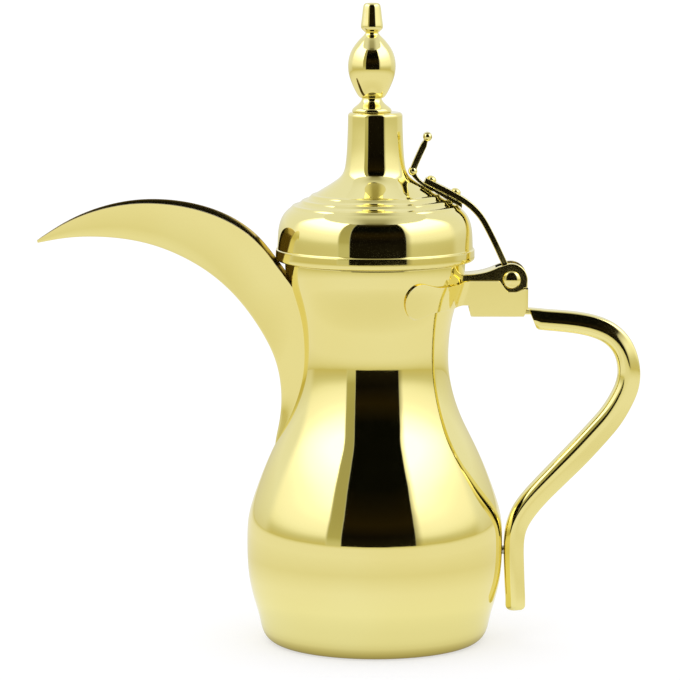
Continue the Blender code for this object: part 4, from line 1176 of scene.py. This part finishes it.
def wall_material():
    """Two tall soft panels, a dark gap round the camera and a dim strip beside
    the -X panel. Bearings are degrees from the camera's side, + towards +X."""
    material, graph, output = new_surface("studio_walls")
    position = graph.add("TexCoord").outputs["Object"]
    x, y, height = graph.add("SeparateXYZ", {"Vector": position}).outputs
    angle = graph.math('ARCTAN2', x, graph.math('MULTIPLY', y, -1.0))
    bearing = graph.math('MULTIPLY', angle, 180 / math.pi)

    panel = graph.ramp(height, PANEL_TONE)
    left = graph.band(bearing, edges=(-112, -44.0), softness=(7, 1.6))
    wall = graph.mix(left, graph.ramp(height, BEHIND_TONE), panel)
    right = graph.band(bearing, edges=(36.3, 106), softness=(0.1, 7))
    wall = graph.mix(right, wall, panel)
    strip = graph.band(bearing, edges=(-44.0, -30.4), softness=(1.6, 0.7))
    wall = graph.mix(strip, wall, graph.ramp(height, STRIP_TONE))
    # narrow falloff on the +X panel's inner border
    falloff = graph.remap(bearing, source=(36.1, 44.0), target=(0.70, 0.0))
    border = graph.band(bearing, edges=(36.1, 44.5), softness=(0.3, 0.3))
    wall = graph.mix(graph.math('MULTIPLY', falloff, border), wall, PANEL_EDGE_TONE)
    gap = graph.band(bearing, edges=(-30.2, 36.1), softness=(0.7, 0.6))
    wall = graph.mix(gap, wall, graph.ramp(height, GAP_TONE))
    emission = graph.add("Emission", {"Color": wall})
    graph.feed(output.inputs["Surface"], emission.outputs["Emission"])
    return material


def build_walls():
    """Round wall seen only in reflections."""
    sides = STUDIO_SIDES
    turn = [2 * math.pi * k / sides for k in range(sides)]
    verts = [(STUDIO_R * math.sin(a), -STUDIO_R * math.cos(a), z)
             for z in (0.0, STUDIO_TOP) for a in turn]
    faces = [(k, (k + 1) % sides, sides + (k + 1) % sides, sides + k) for k in range(sides)]
    walls = plain_mesh("studio_walls", verts, faces, wall_material())
    walls.data.shade_smooth()
    walls.visible_camera = False
    walls.visible_diffuse = False
    walls.visible_shadow = False
    walls.visible_transmission = False
    return walls


def build_world():
    """Toned ceiling in reflections, plain white light otherwise."""
    world = bpy.data.worlds.new("studio")
    bpy.context.scene.world = world
    world.use_nodes = True
    graph = Graph(world.node_tree)
    graph.tree.nodes.clear()
    output = graph.add("OutputWorld")
    direction = graph.add("TexCoord").outputs["Generated"]
    x, y, _ = graph.add("SeparateXYZ", {"Vector": direction}).outputs
    ceiling = graph.ramp(y, CEILING_TONE)
    side = graph.remap(graph.math('ABSOLUTE', x), source=(0.10, 0.42))
    ceiling = graph.mix(side, ceiling, CEILING_SIDE_TONE)
    toned = graph.add("Background", {"Color": ceiling})
    plain = graph.add("Background", {"Color": (1.0, 1.0, 1.0), "Strength": 1.12})
    glossy = graph.add("LightPath").outputs["Is Glossy Ray"]
    graph.feed(output.inputs["Surface"],
               graph.mix_shader(glossy, plain.outputs["Background"],
                                toned.outputs["Background"]))


def build_light():
    """Soft key from the upper left of the camera, aimed at the belly."""
    light = bpy.data.lights.new("soft_key", 'AREA')
    light.energy = 0.6
    light.size = 1.2
    ob = link_object("soft_key", light)
    ob.location = (-0.9, -0.7, 1.5)
    aim = Vector((0, 0, 0.1)) - Vector(ob.location)
    ob.rotation_euler = aim.to_track_quat('-Z', 'Y').to_euler()
    ob.visible_glossy = False


def build_camera():
    """Long lens on the -Y side, tilted a little down."""
    camera = bpy.data.cameras.new("camera")
    camera.sensor_width = 36.0
    camera.lens = 201.7
    camera.clip_end = 50
    ob = link_object("camera", camera)
    ob.location = (-0.0164, -1.770, 0.376)
    ob.rotation_euler = (math.radians(90 - 7.52), 0, 0)
    scene = bpy.context.scene
    scene.camera = ob
    scene.view_settings.view_transform = 'Standard'
    scene.view_settings.look = 'None'


build_pot()
build_lid()
build_floor()
build_walls()
build_world()
build_light()
build_camera()
